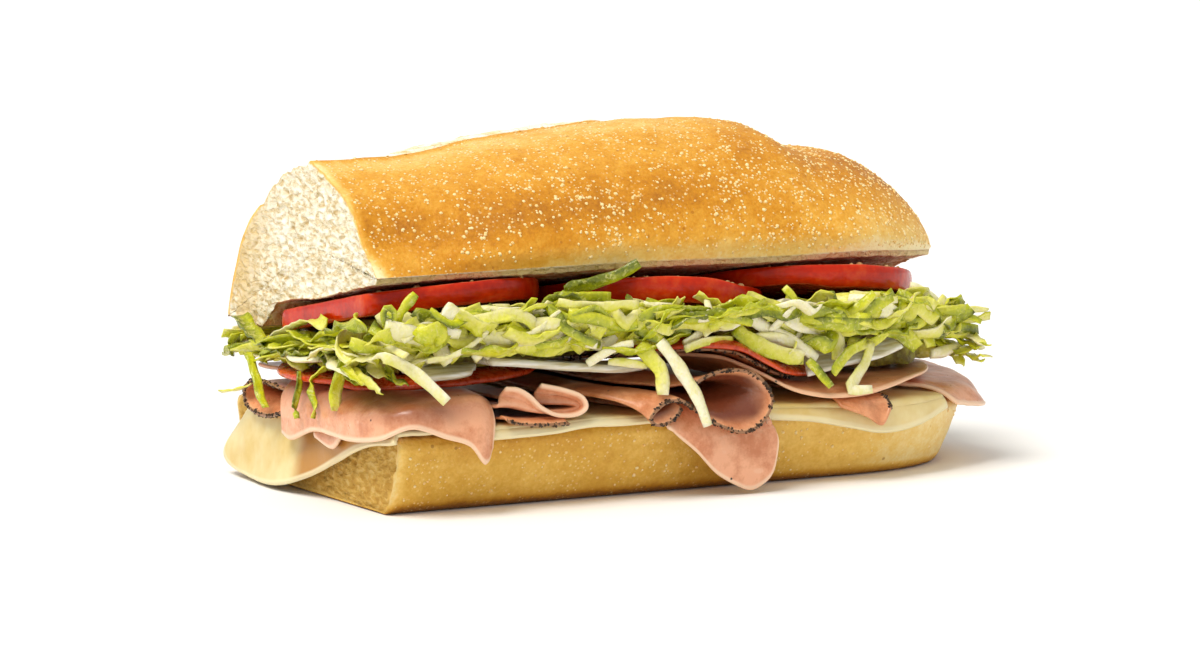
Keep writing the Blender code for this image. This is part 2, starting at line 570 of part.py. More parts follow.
def shred_mesh(path, width, turn, thickness):
    """One strip of leaf along a path: a ribbon whose two faces are split alike."""
    centre = smooth_path(path, 7)
    ribbon = bmesh.new()
    rows = []
    for k, place in enumerate(centre):
        ahead = centre[min(k + 1, len(centre) - 1)] - centre[max(k - 1, 0)]
        share = k / (len(centre) - 1)
        lean = turn[0] + (turn[1] - turn[0]) * share
        flat = Vector(ahead).cross(Vector((0.0, math.sin(lean), math.cos(lean)))).normalized()
        half = 0.5 * width * (1.0 - 0.45 * share ** 3)
        rows.append([ribbon.verts.new(Vector(place) + flat * half * side) for side in (-1.0, 1.0)])
    for (a, b), (c, d) in zip(rows, rows[1:]):
        ribbon.faces.new((a, b, d))
        ribbon.faces.new((a, d, c))
    mesh = bpy.data.meshes.new("shred")
    bmesh.ops.scale(ribbon, vec=(MM, MM, MM), verts=ribbon.verts)
    ribbon.to_mesh(mesh)
    ribbon.free()
    piece = bpy.data.objects.new("shred", mesh)
    solid = piece.modifiers.new("thickness", "SOLIDIFY")
    solid.thickness = thickness * MM
    solid.offset = 0.0
    return piece


# The shreds that can be told apart at the front and at the cut, each a path, a width and its turn
CHOSEN_SHREDS = (
    (((-31, -28, 41.0), (-27, -40, 42.0), (-21, -47, 37.5), (-17, -49, 30.5), (-15.5, -49.6, 23.5)), 5.0, (1.2, 1.9)),
    (((-24, -28, 38.0), (-19, -42, 38.5), (-12.5, -49, 31.0), (-8.5, -51, 23.0), (-6.8, -51.4, 16.8)), 3.4, (1.2, 2.0)),
    (((-72, -9, 33.5), (-84, -9, 34.0), (-89.2, -6, 27.0), (-89.6, -4, 20.0)), 2.4, (0.3, 0.3)),
    (((-72, -18, 34.0), (-85, -20, 34.2), (-89.4, -15, 26.0), (-89.8, -5, 18.6)), 2.4, (0.3, 0.3)),
    (((-72, -24, 35.0), (-84, -26, 37.0), (-89.0, -27.0, 31.0), (-89.6, -27.4, 24.0)), 4.2, (0.2, 0.2)),
    (((-74, -26, 36.0), (-83, -34, 37.0), (-84, -42, 36.0), (-77, -48.4, 30.5), (-71.5, -49.6, 26.0)), 3.6, (0.9, 1.5)),
    (((-72, 14, 34.0), (-84, 13, 34.0), (-88.5, 13, 27.0), (-89.5, 12, 19.0), (-89.8, 10.5, 15.0)), 3.0, (0.2, 0.1)),
    (((-72, 24, 34.0), (-82, 27, 31.5), (-88, 30, 26.0), (-90.5, 33, 22.5)), 2.2, (0.5, 0.8)),
    (((-74, -4, 39.5), (-84, -2, 40.5), (-86, -16, 41.0), (-85, -30, 39.5)), 6.0, (1.0, 0.8)),
    (((-72, 10, 36.0), (-84, 12, 33.5), (-86.5, 22, 34.5), (-86.5, 31, 36.5)), 4.6, (0.9, 0.4)),
    (((-36, -28, 42.5), (-33, -37, 46.0), (-28, -39.5, 48.6), (-19.5, -40.0, 51.0)), 5.6, (0.9, 1.1)),
    (((-2, -28, 39.8), (3, -40, 42.0), (13, -45, 37.2), (25, -46.5, 30.0)), 3.4, (0.9, 1.3)),
    (((2, -28, 38.2), (8, -41, 38.0), (18, -46, 32.2), (28, -47.6, 26.0)), 5.2, (1.1, 1.6)),
    (((42, -28, 34.0), (41, -40, 34.5), (36, -46, 29.0), (33.5, -47.6, 24.2)), 4.2, (1.4, 1.2)),
    (((62, -12, 31.0), (74, -14, 32.0), (84, -13, 30.0), (89.2, -12.5, 29.4)), 3.0, (0.3, 0.2)),
    (((66, -2, 28.0), (82, -4, 27.5), (89.6, -7, 21.0), (91.0, -8, 14.0), (90.4, -8.4, 9.0)), 3.6, (0.2, 0.2)),
    (((-52, -27, 39.0), (-44, -38, 40.0), (-34, -43.5, 38.5), (-24, -44.5, 37.6)), 3.2, (0.8, 1.2)),
    (((-80, -28, 38.0), (-76, -37, 39.5), (-68, -41, 41.5), (-60, -41, 43.5)), 4.0, (0.6, 1.0)),
    (((-74, -4, 36.5), (-84, -6, 37.5), (-87.5, -20, 37.0), (-85, -37, 36.0)), 4.4, (0.9, 1.2)),
    (((-72, -26, 36.5), (-76, -40, 36.5), (-68, -46.5, 37.0), (-56, -46.0, 38.5)), 4.6, (1.0, 1.3)),
    (((-60, -27, 38.0), (-60, -40, 39.0), (-52, -46.5, 37.5), (-44, -47.5, 34.5)), 4.0, (0.9, 1.4)),
    (((-46, -27, 39.0), (-50, -39, 41.5), (-58, -44.5, 41.5), (-66, -45.5, 40.0)), 4.4, (1.2, 0.9)),
    (((14, -27, 35.5), (20, -40, 36.0), (28, -46.5, 36.5), (38, -45.0, 36.5)), 4.2, (1.0, 1.3)),
    (((30, -27, 36.5), (34, -38, 38.5), (44, -42.0, 38.0), (54, -40.0, 35.5)), 4.6, (1.2, 0.9)),
    (((56, -24, 34.0), (58, -33, 36.5), (66, -34.0, 37.0), (74, -28.0, 35.0)), 4.0, (1.0, 1.3)),
)


def scattered_shreds(rng):
    """Further shreds all round the heap, as paths that leave the core and bend along its side."""
    sides = (
        ("front", 0.56, (-74, 46), (0.0, -1.0), (1.0, 0.0), CORE_FRONT_Y, (5, 14)),
        ("back", 0.20, (-72, 68), (0.0, 1.0), (1.0, 0.0), CORE_BACK_Y, (3, 8)),
        ("cut", 0.12, (-26, 28), (-1.0, 0.0), (0.0, 1.0), CORE_X[0], (5, 12)),
        ("end", 0.12, (-10, 24), (1.0, 0.0), (0.0, 1.0), CORE_X[1], (3, 9)),
    )
    for _ in range(SHRED_TRIALS):
        side = rng.choices(sides, weights=[entry[1] for entry in sides])[0]
        name, _, span, out, run, face, reach = side
        base = rng.uniform(*span)
        far = rng.uniform(*reach)
        length = rng.uniform(9.0, 26.0) * rng.choice((-1.0, 1.0))
        start = (base, face) if out[0] == 0.0 else (face, base)
        x0, y0 = start
        level = mix(salad_floor(x0, y0) + 1.4, max(salad_roof(x0, y0), salad_floor(x0, y0) + 2.0) - 1.2, rng.random())
        droop = rng.uniform(-3.0, 5.0) if name != "back" else rng.uniform(-1.0, 1.5)
        steps = ((-5.0, 0.0, 0.0), (far * 0.55, 0.18, 0.6), (far, 0.5, -0.2 * droop), (far * 1.05, 1.0, -droop))
        path = [(x0 + out[0] * away + run[0] * length * share, y0 + out[1] * away + run[1] * length * share,
                 level + rise) for away, share, rise in steps]
        turn = (rng.uniform(0.2, 1.5), rng.uniform(0.2, 1.5))
        yield path, rng.uniform(2.4, 5.4), turn


def tree_of(piece):
    """Search tree of a piece's finished surface, in world space."""
    bpy.context.view_layer.update()
    finished = piece.evaluated_get(bpy.context.evaluated_depsgraph_get())
    mesh = finished.to_mesh()
    points = [piece.matrix_world @ vert.co for vert in mesh.vertices]
    faces = [tuple(face.vertices) for face in mesh.polygons]
    tree = BVHTree.FromPolygons(points, faces, epsilon=0.0)
    finished.to_mesh_clear()
    return tree


def finished_mesh(piece):
    bpy.context.view_layer.update()
    return bpy.data.meshes.new_from_object(piece.evaluated_get(bpy.context.evaluated_depsgraph_get()))


def drop_loose_scraps(mesh):
    """Keeps only the largest connected body of a mesh."""
    shape = bmesh.new()
    shape.from_mesh(mesh)
    left = set(shape.verts)
    bodies = []
    while left:
        body = {left.pop()}
        front = list(body)
        while front:
            vert = front.pop()
            fresh = {edge.other_vert(vert) for edge in vert.link_edges} - body
            body |= fresh
            front.extend(fresh)
        left -= body
        bodies.append(body)
    largest = max(bodies, key=len)
    bmesh.ops.delete(shape, geom=[vert for vert in shape.verts if vert not in largest], context="VERTS")
    shape.to_mesh(mesh)
    shape.free()


def make_lettuce(material, collection, shaping):
    """The heap: shreds that clear every other piece are joined to the core by one union."""
    others = [tree_of(piece) for piece in collection.objects]
    arch_start, arch_end = -16.0, 42.0
    places = np.concatenate([np.linspace(CORE_X[0], arch_start, 5, endpoint=False),
                             np.linspace(arch_start, arch_end, 9, endpoint=False),
                             np.linspace(arch_end, CORE_X[1], 4)])
    lettuce = loft("lettuce", [core_ring(x) for x in places], material, collection)
    rng = random.Random(SEED)
    kept = 0
    for path, width, turn in list(CHOSEN_SHREDS) + list(scattered_shreds(rng)):
        if kept == SHRED_LIMIT:
            break
        probe = shred_mesh(path, width + 1.0, turn, LEAF_THICKNESS + 0.8)
        shaping.objects.link(probe)
        touching = any(tree.overlap(tree_of(probe)) for tree in others)
        bpy.data.objects.remove(probe)
        if touching:
            continue
        shred = shred_mesh(path, width, turn, LEAF_THICKNESS)
        shaping.objects.link(shred)
        shred.hide_render = True
        shred.display_type = "WIRE"
        kept += 1
    union = lettuce.modifiers.new("shreds", "BOOLEAN")
    union.operation = "UNION"
    union.operand_type = "COLLECTION"
    union.collection = shaping
    union.solver = "MANIFOLD"
    lettuce.data = finished_mesh(lettuce)
    lettuce.modifiers.clear()
    drop_loose_scraps(lettuce.data)
    for shred in list(shaping.objects):
        bpy.data.objects.remove(shred)


def clear_scene():
    for item in list(bpy.data.objects):
        bpy.data.objects.remove(item)


def main():
    clear_scene()
    sandwich = bpy.data.collections.new("submarine_sandwich")
    bpy.context.scene.collection.children.link(sandwich)
    bread = make_material("bread", (0.72, 0.40, 0.10), 0.6)
    ham = make_material("ham", (0.72, 0.33, 0.22), 0.4)
    salami = make_material("salami", (0.50, 0.09, 0.03), 0.35)
    cheese = make_material("cheese", (0.80, 0.68, 0.38), 0.45)
    tomato = make_material("tomato", (0.55, 0.04, 0.01), 0.25)
    onion = make_material("onion", (0.80, 0.74, 0.60), 0.35)
    leaf = make_material("lettuce", (0.42, 0.55, 0.10), 0.45)
    shaping = bpy.data.collections.new("shaping")
    bpy.context.scene.collection.children.link(shaping)
    make_crown(bread, sandwich)
    make_heel(bread, sandwich)
    make_tomatoes(tomato, sandwich)
    make_cheese(cheese, sandwich)
    make_ham_left(ham, sandwich)
    make_ham_roll_left(ham, sandwich)
    make_ham_folds(ham, sandwich)
    make_upper_slices(ham, salami, sandwich)
    make_ham_right_end(ham, sandwich)
    make_onion(onion, sandwich)
    make_lettuce(leaf, sandwich, shaping)


main()
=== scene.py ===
"""Looks of the submarine sandwich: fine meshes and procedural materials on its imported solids.

Lengths in this file are millimetres, and every mesh becomes metres as it is made. +X runs from the cut
end to the rounded end, -Y is the open front and +Z is up.
"""
import math
import random
from functools import lru_cache

import bmesh
import bpy
import numpy as np
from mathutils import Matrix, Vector, noise
from mathutils.bvhtree import BVHTree


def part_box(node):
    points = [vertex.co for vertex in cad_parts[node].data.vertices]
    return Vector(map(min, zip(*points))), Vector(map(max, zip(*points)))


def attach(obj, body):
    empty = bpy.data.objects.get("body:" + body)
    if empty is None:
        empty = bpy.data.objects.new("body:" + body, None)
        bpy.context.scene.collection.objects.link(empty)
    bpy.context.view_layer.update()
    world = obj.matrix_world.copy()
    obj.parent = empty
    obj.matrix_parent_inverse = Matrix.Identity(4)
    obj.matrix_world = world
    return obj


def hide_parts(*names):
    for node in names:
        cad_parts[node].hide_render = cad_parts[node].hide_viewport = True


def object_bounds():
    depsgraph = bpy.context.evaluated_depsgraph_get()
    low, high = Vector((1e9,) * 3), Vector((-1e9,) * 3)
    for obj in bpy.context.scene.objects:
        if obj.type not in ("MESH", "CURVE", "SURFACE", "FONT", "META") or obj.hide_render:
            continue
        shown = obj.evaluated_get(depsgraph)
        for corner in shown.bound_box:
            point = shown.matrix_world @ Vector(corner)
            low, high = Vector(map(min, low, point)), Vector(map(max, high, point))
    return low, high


MM = 0.001
GAP = 0.35

# The roll, as in the solids
CUT_X = -81.0
HEEL_END_X = 81.5
CROWN_END_X = 83.6
HEEL_HEIGHT = 18.2
HEEL_HALF_WIDTH = 41.2
HEEL_BASE_HALF_WIDTH = 34.0
CROWN_FRONT = (-31.0, 53.0)
CROWN_BACK = (46.3, 35.9)
CROWN_LIMIT_Y = 47.4
CROWN_MARGIN = 1.3
SLASH_END_X = 16.0

TOMATO_THICKNESS = 4.2
HAM_THICKNESS = 0.9
CHEESE_THICKNESS = 1.3
SALAMI_THICKNESS = 1.3
ONION_THICKNESS = 1.8
LEAF_THICKNESS = 0.36

SPECKS = 4800
CRUMBS = 70
SHREDS = 520
SEED = 17

# Camera, floor and light; places in metres
CAMERA_AZIMUTH = -29.0
CAMERA_ELEVATION = 7.5
CAMERA_DISTANCE = 1.5
CAMERA_TARGET = (-0.007, 0.0, 0.033)
CAMERA_LENS = 192.6
CAMERA_SENSOR = 36.0
CAMERA_FAR = 20.0
FLOOR_REACH = 90.0
FLOOR_LEVEL = -0.0003
WORLD_COLOUR = (1.0, 0.99, 0.97, 1.0)
WORLD_STRENGTH = 0.62
SUN_AZIMUTH = -76.0
SUN_ELEVATION = 61.0
SUN_SPREAD = 30.0
SUN_STRENGTH = 2.5
SUN_COLOUR = (1.0, 0.965, 0.91)

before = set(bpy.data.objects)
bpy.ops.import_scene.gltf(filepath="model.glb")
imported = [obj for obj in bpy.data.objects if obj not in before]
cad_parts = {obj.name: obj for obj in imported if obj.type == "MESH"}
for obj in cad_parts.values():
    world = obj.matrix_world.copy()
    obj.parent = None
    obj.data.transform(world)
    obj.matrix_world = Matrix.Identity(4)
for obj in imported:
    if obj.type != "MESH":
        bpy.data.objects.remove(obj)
cad_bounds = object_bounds()


# Curves and fields

def smooth_path(points, count, even=True):
    """A Catmull-Rom curve through the points, read at count places."""
    given = np.array(points, float)
    ends = np.vstack([2 * given[0] - given[1], given, 2 * given[-1] - given[-2]])
    t = np.linspace(0.0, 1.0, 24, endpoint=False)[:, None]
    a, b, c, d = (ends[k:len(ends) - 3 + k, None] for k in range(4))
    cubic = 3 * b - a - 3 * c + d
    fine = 0.5 * (2 * b + (c - a) * t + (2 * a - 5 * b + 4 * c - d) * t ** 2 + cubic * t ** 3)
    fine = np.vstack([fine.reshape(-1, given.shape[1]), given[-1]])
    if even:
        run = np.concatenate([[0.0], np.cumsum(np.linalg.norm(np.diff(fine, axis=0), axis=1))])
    else:
        run = np.arange(len(fine), dtype=float)
    wanted = np.linspace(0.0, run[-1], count)
    return np.column_stack([np.interp(wanted, run, fine[:, axis]) for axis in range(fine.shape[1])])


@lru_cache(maxsize=None)
def drawn_line(points):
    return smooth_path(points, 400, even=False)


def read_line(points, x):
    """The height at x of a smooth line through a few (x, height) points."""
    line = drawn_line(tuple(points))
    return np.interp(x, line[:, 0], line[:, 1])


def ease(value):
    """A smooth step from 0 to 1."""
    value = np.clip(value, 0.0, 1.0)
    return value * value * (3.0 - 2.0 * value)


def mix(a, b, share):
    return a + (b - a) * share


def unit(vectors):
    return vectors / np.maximum(np.linalg.norm(vectors, axis=-1, keepdims=True), 1e-9)


def field(points, size, phase=0.0):
    """Smooth noise from -1 to 1 at each point, in lumps of about the given size (one number or three)."""
    places = np.asarray(points, float).reshape(-1, 3)
    scaled = places / np.asarray(size, float) + (phase, -phase, 0.37 * phase)
    values = [noise.noise(Vector(place)) for place in scaled]
    return np.array(values).reshape(np.shape(points)[:-1])


def hex_colour(text):
    """Linear colour of a #RRGGBB display colour."""
    parts = [int(text[k:k + 2], 16) / 255.0 for k in (1, 3, 5)]
    return [part / 12.92 if part <= 0.04045 else ((part + 0.055) / 1.055) ** 2.4 for part in parts] + [1.0]


# Materials

class Paint:
    """A Principled material with short calls for the nodes that drive it."""

    def __init__(self, name, **sockets):
        self.material = bpy.data.materials.new(name)
        self.material.use_nodes = True
        self.tree = self.material.node_tree
        self.shader = self.tree.nodes["Principled BSDF"]
        self.place = self.node("ShaderNodeTexCoord").outputs["Object"]
        for key, value in sockets.items():
            self.shader.inputs[key.replace("_", " ")].default_value = value

    def node(self, kind, **settings):
        made = self.tree.nodes.new(kind)
        for key, value in settings.items():
            setattr(made, key, value)
        return made

    def put(self, value, socket):
        """Links a node's output to the socket, or sets the socket to a number or colour."""
        if isinstance(value, bpy.types.NodeSocket):
            self.tree.links.new(value, socket)
        elif isinstance(value, str):
            socket.default_value = hex_colour(value)
        else:
            socket.default_value = value

    def mark(self, name):
        """A number kept at each point of the mesh."""
        return self.node("ShaderNodeAttribute", attribute_name=name).outputs["Fac"]

    def along(self, axis):
        """Distance along X, Y or Z in metres."""
        split = self.node("ShaderNodeSeparateXYZ")
        self.put(self.place, split.inputs[0])
        return split.outputs[axis]

    def stretched(self, stretch):
        mapping = self.node("ShaderNodeMapping")
        self.put(self.place, mapping.inputs["Vector"])
        mapping.inputs["Scale"].default_value = stretch
        return mapping.outputs["Vector"]

    def grain(self, size, detail=3.0, stretch=None, distortion=0.0):
        """Noise from 0 to 1 with grains of about the given size."""
        made = self.node("ShaderNodeTexNoise")
        self.put(self.stretched(stretch) if stretch else self.place, made.inputs["Vector"])
        made.inputs["Scale"].default_value = 1.0 / (size * MM)
        made.inputs["Detail"].default_value = detail
        made.inputs["Distortion"].default_value = distortion
        return made.outputs["Fac"]

    def cells(self, size, stretch=None):
        """Distance from the middle of scattered cells of about the given size."""
        made = self.node("ShaderNodeTexVoronoi")
        self.put(self.stretched(stretch) if stretch else self.place, made.inputs["Vector"])
        made.inputs["Scale"].default_value = 1.0 / (size * MM)
        return made.outputs["Distance"]

    def maths(self, operation, first, second=0.5, third=None, clamp=False):
        made = self.node("ShaderNodeMath", operation=operation, use_clamp=clamp)
        self.put(first, made.inputs[0])
        self.put(second, made.inputs[1])
        if third is not None:
            self.put(third, made.inputs[2])
        return made.outputs[0]

    def spread(self, value, low, high, start=0.0, end=1.0):
        """Maps low..high onto start..end, smoothly and held at both ends."""
        made = self.node("ShaderNodeMapRange", interpolation_type="SMOOTHSTEP")
        numbers = {"Value": value, "From Min": low, "From Max": high, "To Min": start, "To Max": end}
        for key, number in numbers.items():
            self.put(number, made.inputs[key])
        return made.outputs["Result"]

    def ramp(self, value, *stops):
        made = self.node("ShaderNodeValToRGB")
        line = made.color_ramp
        while len(line.elements) < len(stops):
            line.elements.new(0.5)
        for element, (position, colour) in zip(line.elements, stops):
            element.position = position
            element.color = hex_colour(colour)
        self.put(value, made.inputs["Fac"])
        return made.outputs["Color"]

    def blend(self, share, first, second, kind="MIX"):
        made = self.node("ShaderNodeMix", data_type="RGBA", blend_type=kind)
        self.put(share, made.inputs[0])
        self.put(first, made.inputs[6])
        self.put(second, made.inputs[7])
        return made.outputs[2]

    def total(self, first, *parts):
        """Adds (value - 0.5) * weight for each part to the first value."""
        result = first
        for value, weight in parts:
            result = self.maths("MULTIPLY_ADD", self.maths("SUBTRACT", value, 0.5), weight, result)
        return result

    def finish(self, colour=None, roughness=None, bumps=()):
        """Connects colour and roughness, and stacks bumps given as (height, depth in mm)."""
        if colour is not None:
            self.put(colour, self.shader.inputs["Base Color"])
        if roughness is not None:
            self.put(roughness, self.shader.inputs["Roughness"])
        normal = None
        for height, depth in bumps:
            made = self.node("ShaderNodeBump")
            made.inputs["Distance"].default_value = depth * MM
            self.put(height, made.inputs["Height"])
            if normal is not None:
                self.put(normal, made.inputs["Normal"])
            normal = made.outputs["Normal"]
        if normal is not None:
            self.put(normal, self.shader.inputs["Normal"])
        return self.material


def bread_material(name, crust, crumb, depth):
    """Crust, torn crust and crumb: crust and crumb are ramp stops, depth is the pores' in millimetres."""
    paint = Paint(name, Subsurface_Weight=0.08, Subsurface_Scale=0.002, Subsurface_Radius=(1.0, 0.6, 0.35),
                  IOR=1.4)
    # The bake mark is how baked the crust is, with painted bounce light that pales the top roll's crust low
    # down towards the right
    inner, slash, bake_and_painted_light = paint.mark("crumb"), paint.mark("slash"), paint.mark("bake_and_painted_light")
    tone = paint.total(bake_and_painted_light, (paint.grain(12.0), 0.34), (paint.grain(2.8, 4.0), 0.34),
                       (paint.grain(0.8, 3.0), 0.30))
    skin = paint.ramp(tone, *crust)
    dots = paint.maths("MULTIPLY", paint.spread(paint.cells(1.1), 0.16, 0.30, 1.0, 0.0),
                       paint.spread(paint.grain(7.0), 0.42, 0.6))
    skin = paint.blend(paint.maths("MULTIPLY", dots, 0.5), skin, crust[0][1])
    pits = paint.spread(paint.cells(6.0), 0.05, 0.09, 0.6, 0.0)
    skin = paint.blend(pits, skin, crust[-1][1])
    pores = paint.grain(1.3, 3.0, stretch=(1.0, 0.55, 1.2), distortion=0.4)
    broad = paint.grain(16.0)
    soft = paint.ramp(paint.total(pores, (broad, 0.25), (paint.grain(0.7, 2.0), 0.14)), *crumb)
    stain = paint.maths("MULTIPLY", paint.spread(bake_and_painted_light, 0.05, 0.18, 0.85, 0.0),
                        paint.spread(paint.grain(5.0), 0.28, 0.5))
    soft = paint.blend(stain, soft, "#C87E5A")
    margin = paint.maths("MULTIPLY", paint.spread(bake_and_painted_light, 0.1, 0.18), paint.spread(bake_and_painted_light, 0.22, 0.28, 0.8, 0.0))
    soft = paint.blend(margin, soft, "#EFD29A")
    # Tan towards the back of the cut (+Y), in broad patches
    back_tan = paint.maths("MULTIPLY", paint.spread(paint.along("Y"), 0.014, 0.044, 0.0, 0.85),
                        paint.spread(broad, 0.3, 0.6))
    soft = paint.blend(back_tan, soft, "#D9B978")
    torn = paint.ramp(paint.grain(2.0, 4.0, stretch=(0.35, 1.0, 1.0)), (0.30, "#E8C277"), (0.46, "#FAEBC4"),
                      (0.62, "#FFFAEA"))
    colour = paint.blend(inner, paint.blend(slash, skin, torn), soft)
    open_share = paint.maths("MAXIMUM", inner, slash)
    rough = paint.maths("MULTIPLY_ADD", open_share, 0.40, 0.50)
    pore_height = paint.maths("MULTIPLY", paint.spread(pores, 0.3, 0.6), open_share)
    return paint.finish(colour, rough, ((paint.grain(3.0, 4.0), 0.35), (paint.grain(0.8, 3.0), 0.20),
                                        (pore_height, depth)))


def speck_material():
    paint = Paint("speck", Roughness=0.6, Subsurface_Weight=0.1, Subsurface_Scale=0.001)
    return paint.finish(paint.ramp(paint.grain(1.4), (0.3, "#EDB85E"), (0.6, "#FCE3A8")), None,
                        ((paint.grain(0.3), 0.05),))


def crumb_material():
    paint = Paint("loose_crumb", Roughness=0.8)
    return paint.finish(paint.ramp(paint.grain(1.5), (0.35, "#8E5A2C"), (0.6, "#DDBB84")), None,
                        ((paint.grain(0.4), 0.1),))


def pepper_material():
    paint = Paint("pepper", Roughness=0.55)
    return paint.finish(paint.ramp(paint.grain(0.9), (0.35, "#150D07"), (0.62, "#4E3315")), None,
                        ((paint.grain(0.25), 0.08),))


def ham_material(name, light, dark, rim, rim_width, peppered=False):
    """Cooked ham: mottled, with faint fibres, a rim of its own colour, and painted shade deep in folds and
    under other slices.
    """
    paint = Paint(name, Subsurface_Weight=0.10, Subsurface_Scale=0.002, Subsurface_Radius=(1.0, 0.5, 0.35),
                  Coat_Weight=0.22, Coat_Roughness=0.2)
    tone = paint.total(paint.grain(7.0), (paint.grain(1.6, 4.0), 0.40), (paint.grain(0.5, 2.0), 0.25))
    meat = paint.ramp(tone, (0.3, dark), (0.62, light))
    fibres = paint.spread(paint.grain(2.2, 2.0, stretch=(0.4, 1.0, 1.0)), 0.62, 0.74)
    meat = paint.blend(paint.maths("MULTIPLY", fibres, 0.3), meat, rim)
    near = paint.spread(paint.mark("edge"), rim_width * 0.3, rim_width, 1.0, 0.0)
    colour = paint.blend(near, meat, rim)
    if peppered:
        ragged = paint.total(paint.mark("edge"), (paint.grain(1.0, 3.0), 1.1))
        colour = paint.blend(paint.spread(ragged, 0.25, 0.75, 0.75, 0.0), colour, "#6E421E")
    flecks = paint.spread(paint.cells(6.5), 0.03, 0.055, 1.0, 0.0)
    colour = paint.blend(flecks, colour, "#2A1A0E")
    # Painted shade: the deep mark turns the meat dark brown in folds, mouths and under other slices
    colour = paint.blend(paint.maths("MULTIPLY", paint.mark("deep"), 0.92), colour, "#642208")
    rough = paint.total(0.33, (paint.grain(2.0), 0.25))
    return paint.finish(colour, rough, ((paint.grain(1.1, 4.0), 0.12), (paint.grain(4.0), 0.20)))


def salami_material():
    paint = Paint("salami", Subsurface_Weight=0.08, Subsurface_Scale=0.002, Coat_Weight=0.35,
                  Coat_Roughness=0.15)
    meat = paint.ramp(paint.total(paint.grain(3.0), (paint.grain(0.9), 0.4)), (0.3, "#A82A0A"),
                      (0.6, "#DC4C14"))
    fat = paint.spread(paint.cells(1.7), 0.20, 0.30, 1.0, 0.0)
    patch = paint.spread(paint.grain(4.0), 0.45, 0.6)
    colour = paint.blend(paint.maths("MULTIPLY", fat, paint.maths("MULTIPLY", patch, 0.6)), meat, "#E08850")
    return paint.finish(colour, paint.total(0.28, (paint.grain(1.5), 0.2)), ((paint.grain(1.0, 4.0), 0.12),))


def cheese_material():
    paint = Paint("cheese", Subsurface_Weight=0.22, Subsurface_Scale=0.003, Subsurface_Radius=(1.0, 0.8, 0.5),
                  Coat_Weight=0.12, Coat_Roughness=0.3)
    colour = paint.ramp(paint.total(paint.grain(14.0), (paint.grain(2.5), 0.25)), (0.3, "#DABC70"),
                        (0.65, "#EDDBA4"))
    near = paint.spread(paint.mark("edge"), 0.6, 1.4, 1.0, 0.0)
    # Painted shade: the deep mark turns the cheese tan where the ham shades it
    colour = paint.blend(paint.maths("MULTIPLY", paint.mark("deep"), 0.95), colour, "#BA7E24")
    colour = paint.blend(paint.maths("MULTIPLY", near, 0.75), colour, "#F1E3B8")
    return paint.finish(colour, paint.total(0.38, (paint.grain(3.0), 0.15)),
                        ((paint.grain(5.0), 0.12), (paint.grain(0.8), 0.02)))


def tomato_material():
    paint = Paint("tomato", Subsurface_Weight=0.06, Subsurface_Scale=0.002, Specular_IOR_Level=0.2,
                  Coat_Weight=0.16, Coat_Roughness=0.08)
    skin = paint.ramp(paint.total(paint.grain(9.0), (paint.grain(1.8, 4.0), 0.4)), (0.3, "#A41400"),
                      (0.55, "#CC2A02"), (0.8, "#E0561E"))
    flesh = paint.ramp(paint.total(paint.grain(4.0), (paint.grain(1.0), 0.5)), (0.35, "#B02408"),
                       (0.6, "#DC6440"))
    colour = paint.blend(paint.mark("side"), flesh, skin)
    seeds = paint.spread(paint.cells(4.0), 0.16, 0.22, 1.0, 0.0)
    inside = paint.maths("MULTIPLY", seeds, paint.spread(paint.mark("edge"), 5.0, 7.0))
    colour = paint.blend(inside, colour, "#EFC07A")
    return paint.finish(colour, paint.total(0.22, (paint.grain(2.0), 0.15)), ((paint.grain(1.2, 4.0), 0.12),))


def onion_material():
    paint = Paint("onion", Subsurface_Weight=0.35, Subsurface_Scale=0.004, Subsurface_Radius=(1.0, 0.9, 0.7),
                  Coat_Weight=0.4, Coat_Roughness=0.12)
    stripes = paint.grain(1.0, 2.0, stretch=(0.12, 1.0, 1.4))
    colour = paint.ramp(paint.total(stripes, (paint.grain(6.0), 0.4)), (0.3, "#D2C49C"), (0.5, "#EBE3CC"),
                        (0.72, "#F8F5EA"))
    return paint.finish(colour, paint.total(0.22, (stripes, 0.15)), ((stripes, 0.15),))


def leaf_material():
    paint = Paint("lettuce", Subsurface_Weight=0.15, Subsurface_Scale=0.001,
                  Subsurface_Radius=(0.8, 1.0, 0.3), Coat_Weight=0.25, Coat_Roughness=0.2)
    tone = paint.total(paint.mark("tone"), (paint.grain(3.2, 3.0), 0.42), (paint.grain(0.8, 2.0), 0.22))
    colour = paint.ramp(tone, (0.0, "#FAF4D2"), (0.2, "#EFE8A2"), (0.4, "#E4E05E"), (0.6, "#D2D218"),
                        (0.8, "#AAB20A"), (1.0, "#667004"))
    veins = paint.spread(paint.grain(1.5, 3.0, distortion=1.2), 0.56, 0.66)
    colour = paint.blend(paint.maths("MULTIPLY", veins, 0.45), colour, "#ECE590")
    height = paint.grain(1.3, 4.0, distortion=0.8)
    return paint.finish(colour, paint.total(0.34, (height, 0.2)),
                        ((height, 0.35), (paint.grain(3.0, 2.0), 0.5)))


def core_painted_shade_material():
    # Painted shade: the lettuce inside is dark olive and brown for the shade between the shreds
    paint = Paint("lettuce_inside_painted_shade", Subsurface_Weight=0.1, Subsurface_Scale=0.002, Roughness=0.6)
    colour = paint.ramp(paint.total(paint.grain(3.0, 4.0), (paint.grain(9.0), 0.3)), (0.3, "#54400C"),
                        (0.5, "#857A1C"), (0.7, "#B4B448"))
    return paint.finish(colour, None, ((paint.grain(2.5, 4.0), 1.2),))


def floor_material():
    paint = Paint("floor", Roughness=0.85)
    return paint.finish(paint.ramp(paint.grain(60.0), (0.3, "#FAFAF9"), (0.7, "#FBFBFA")), None,
                        ((paint.grain(30.0), 0.02),))


# Meshes

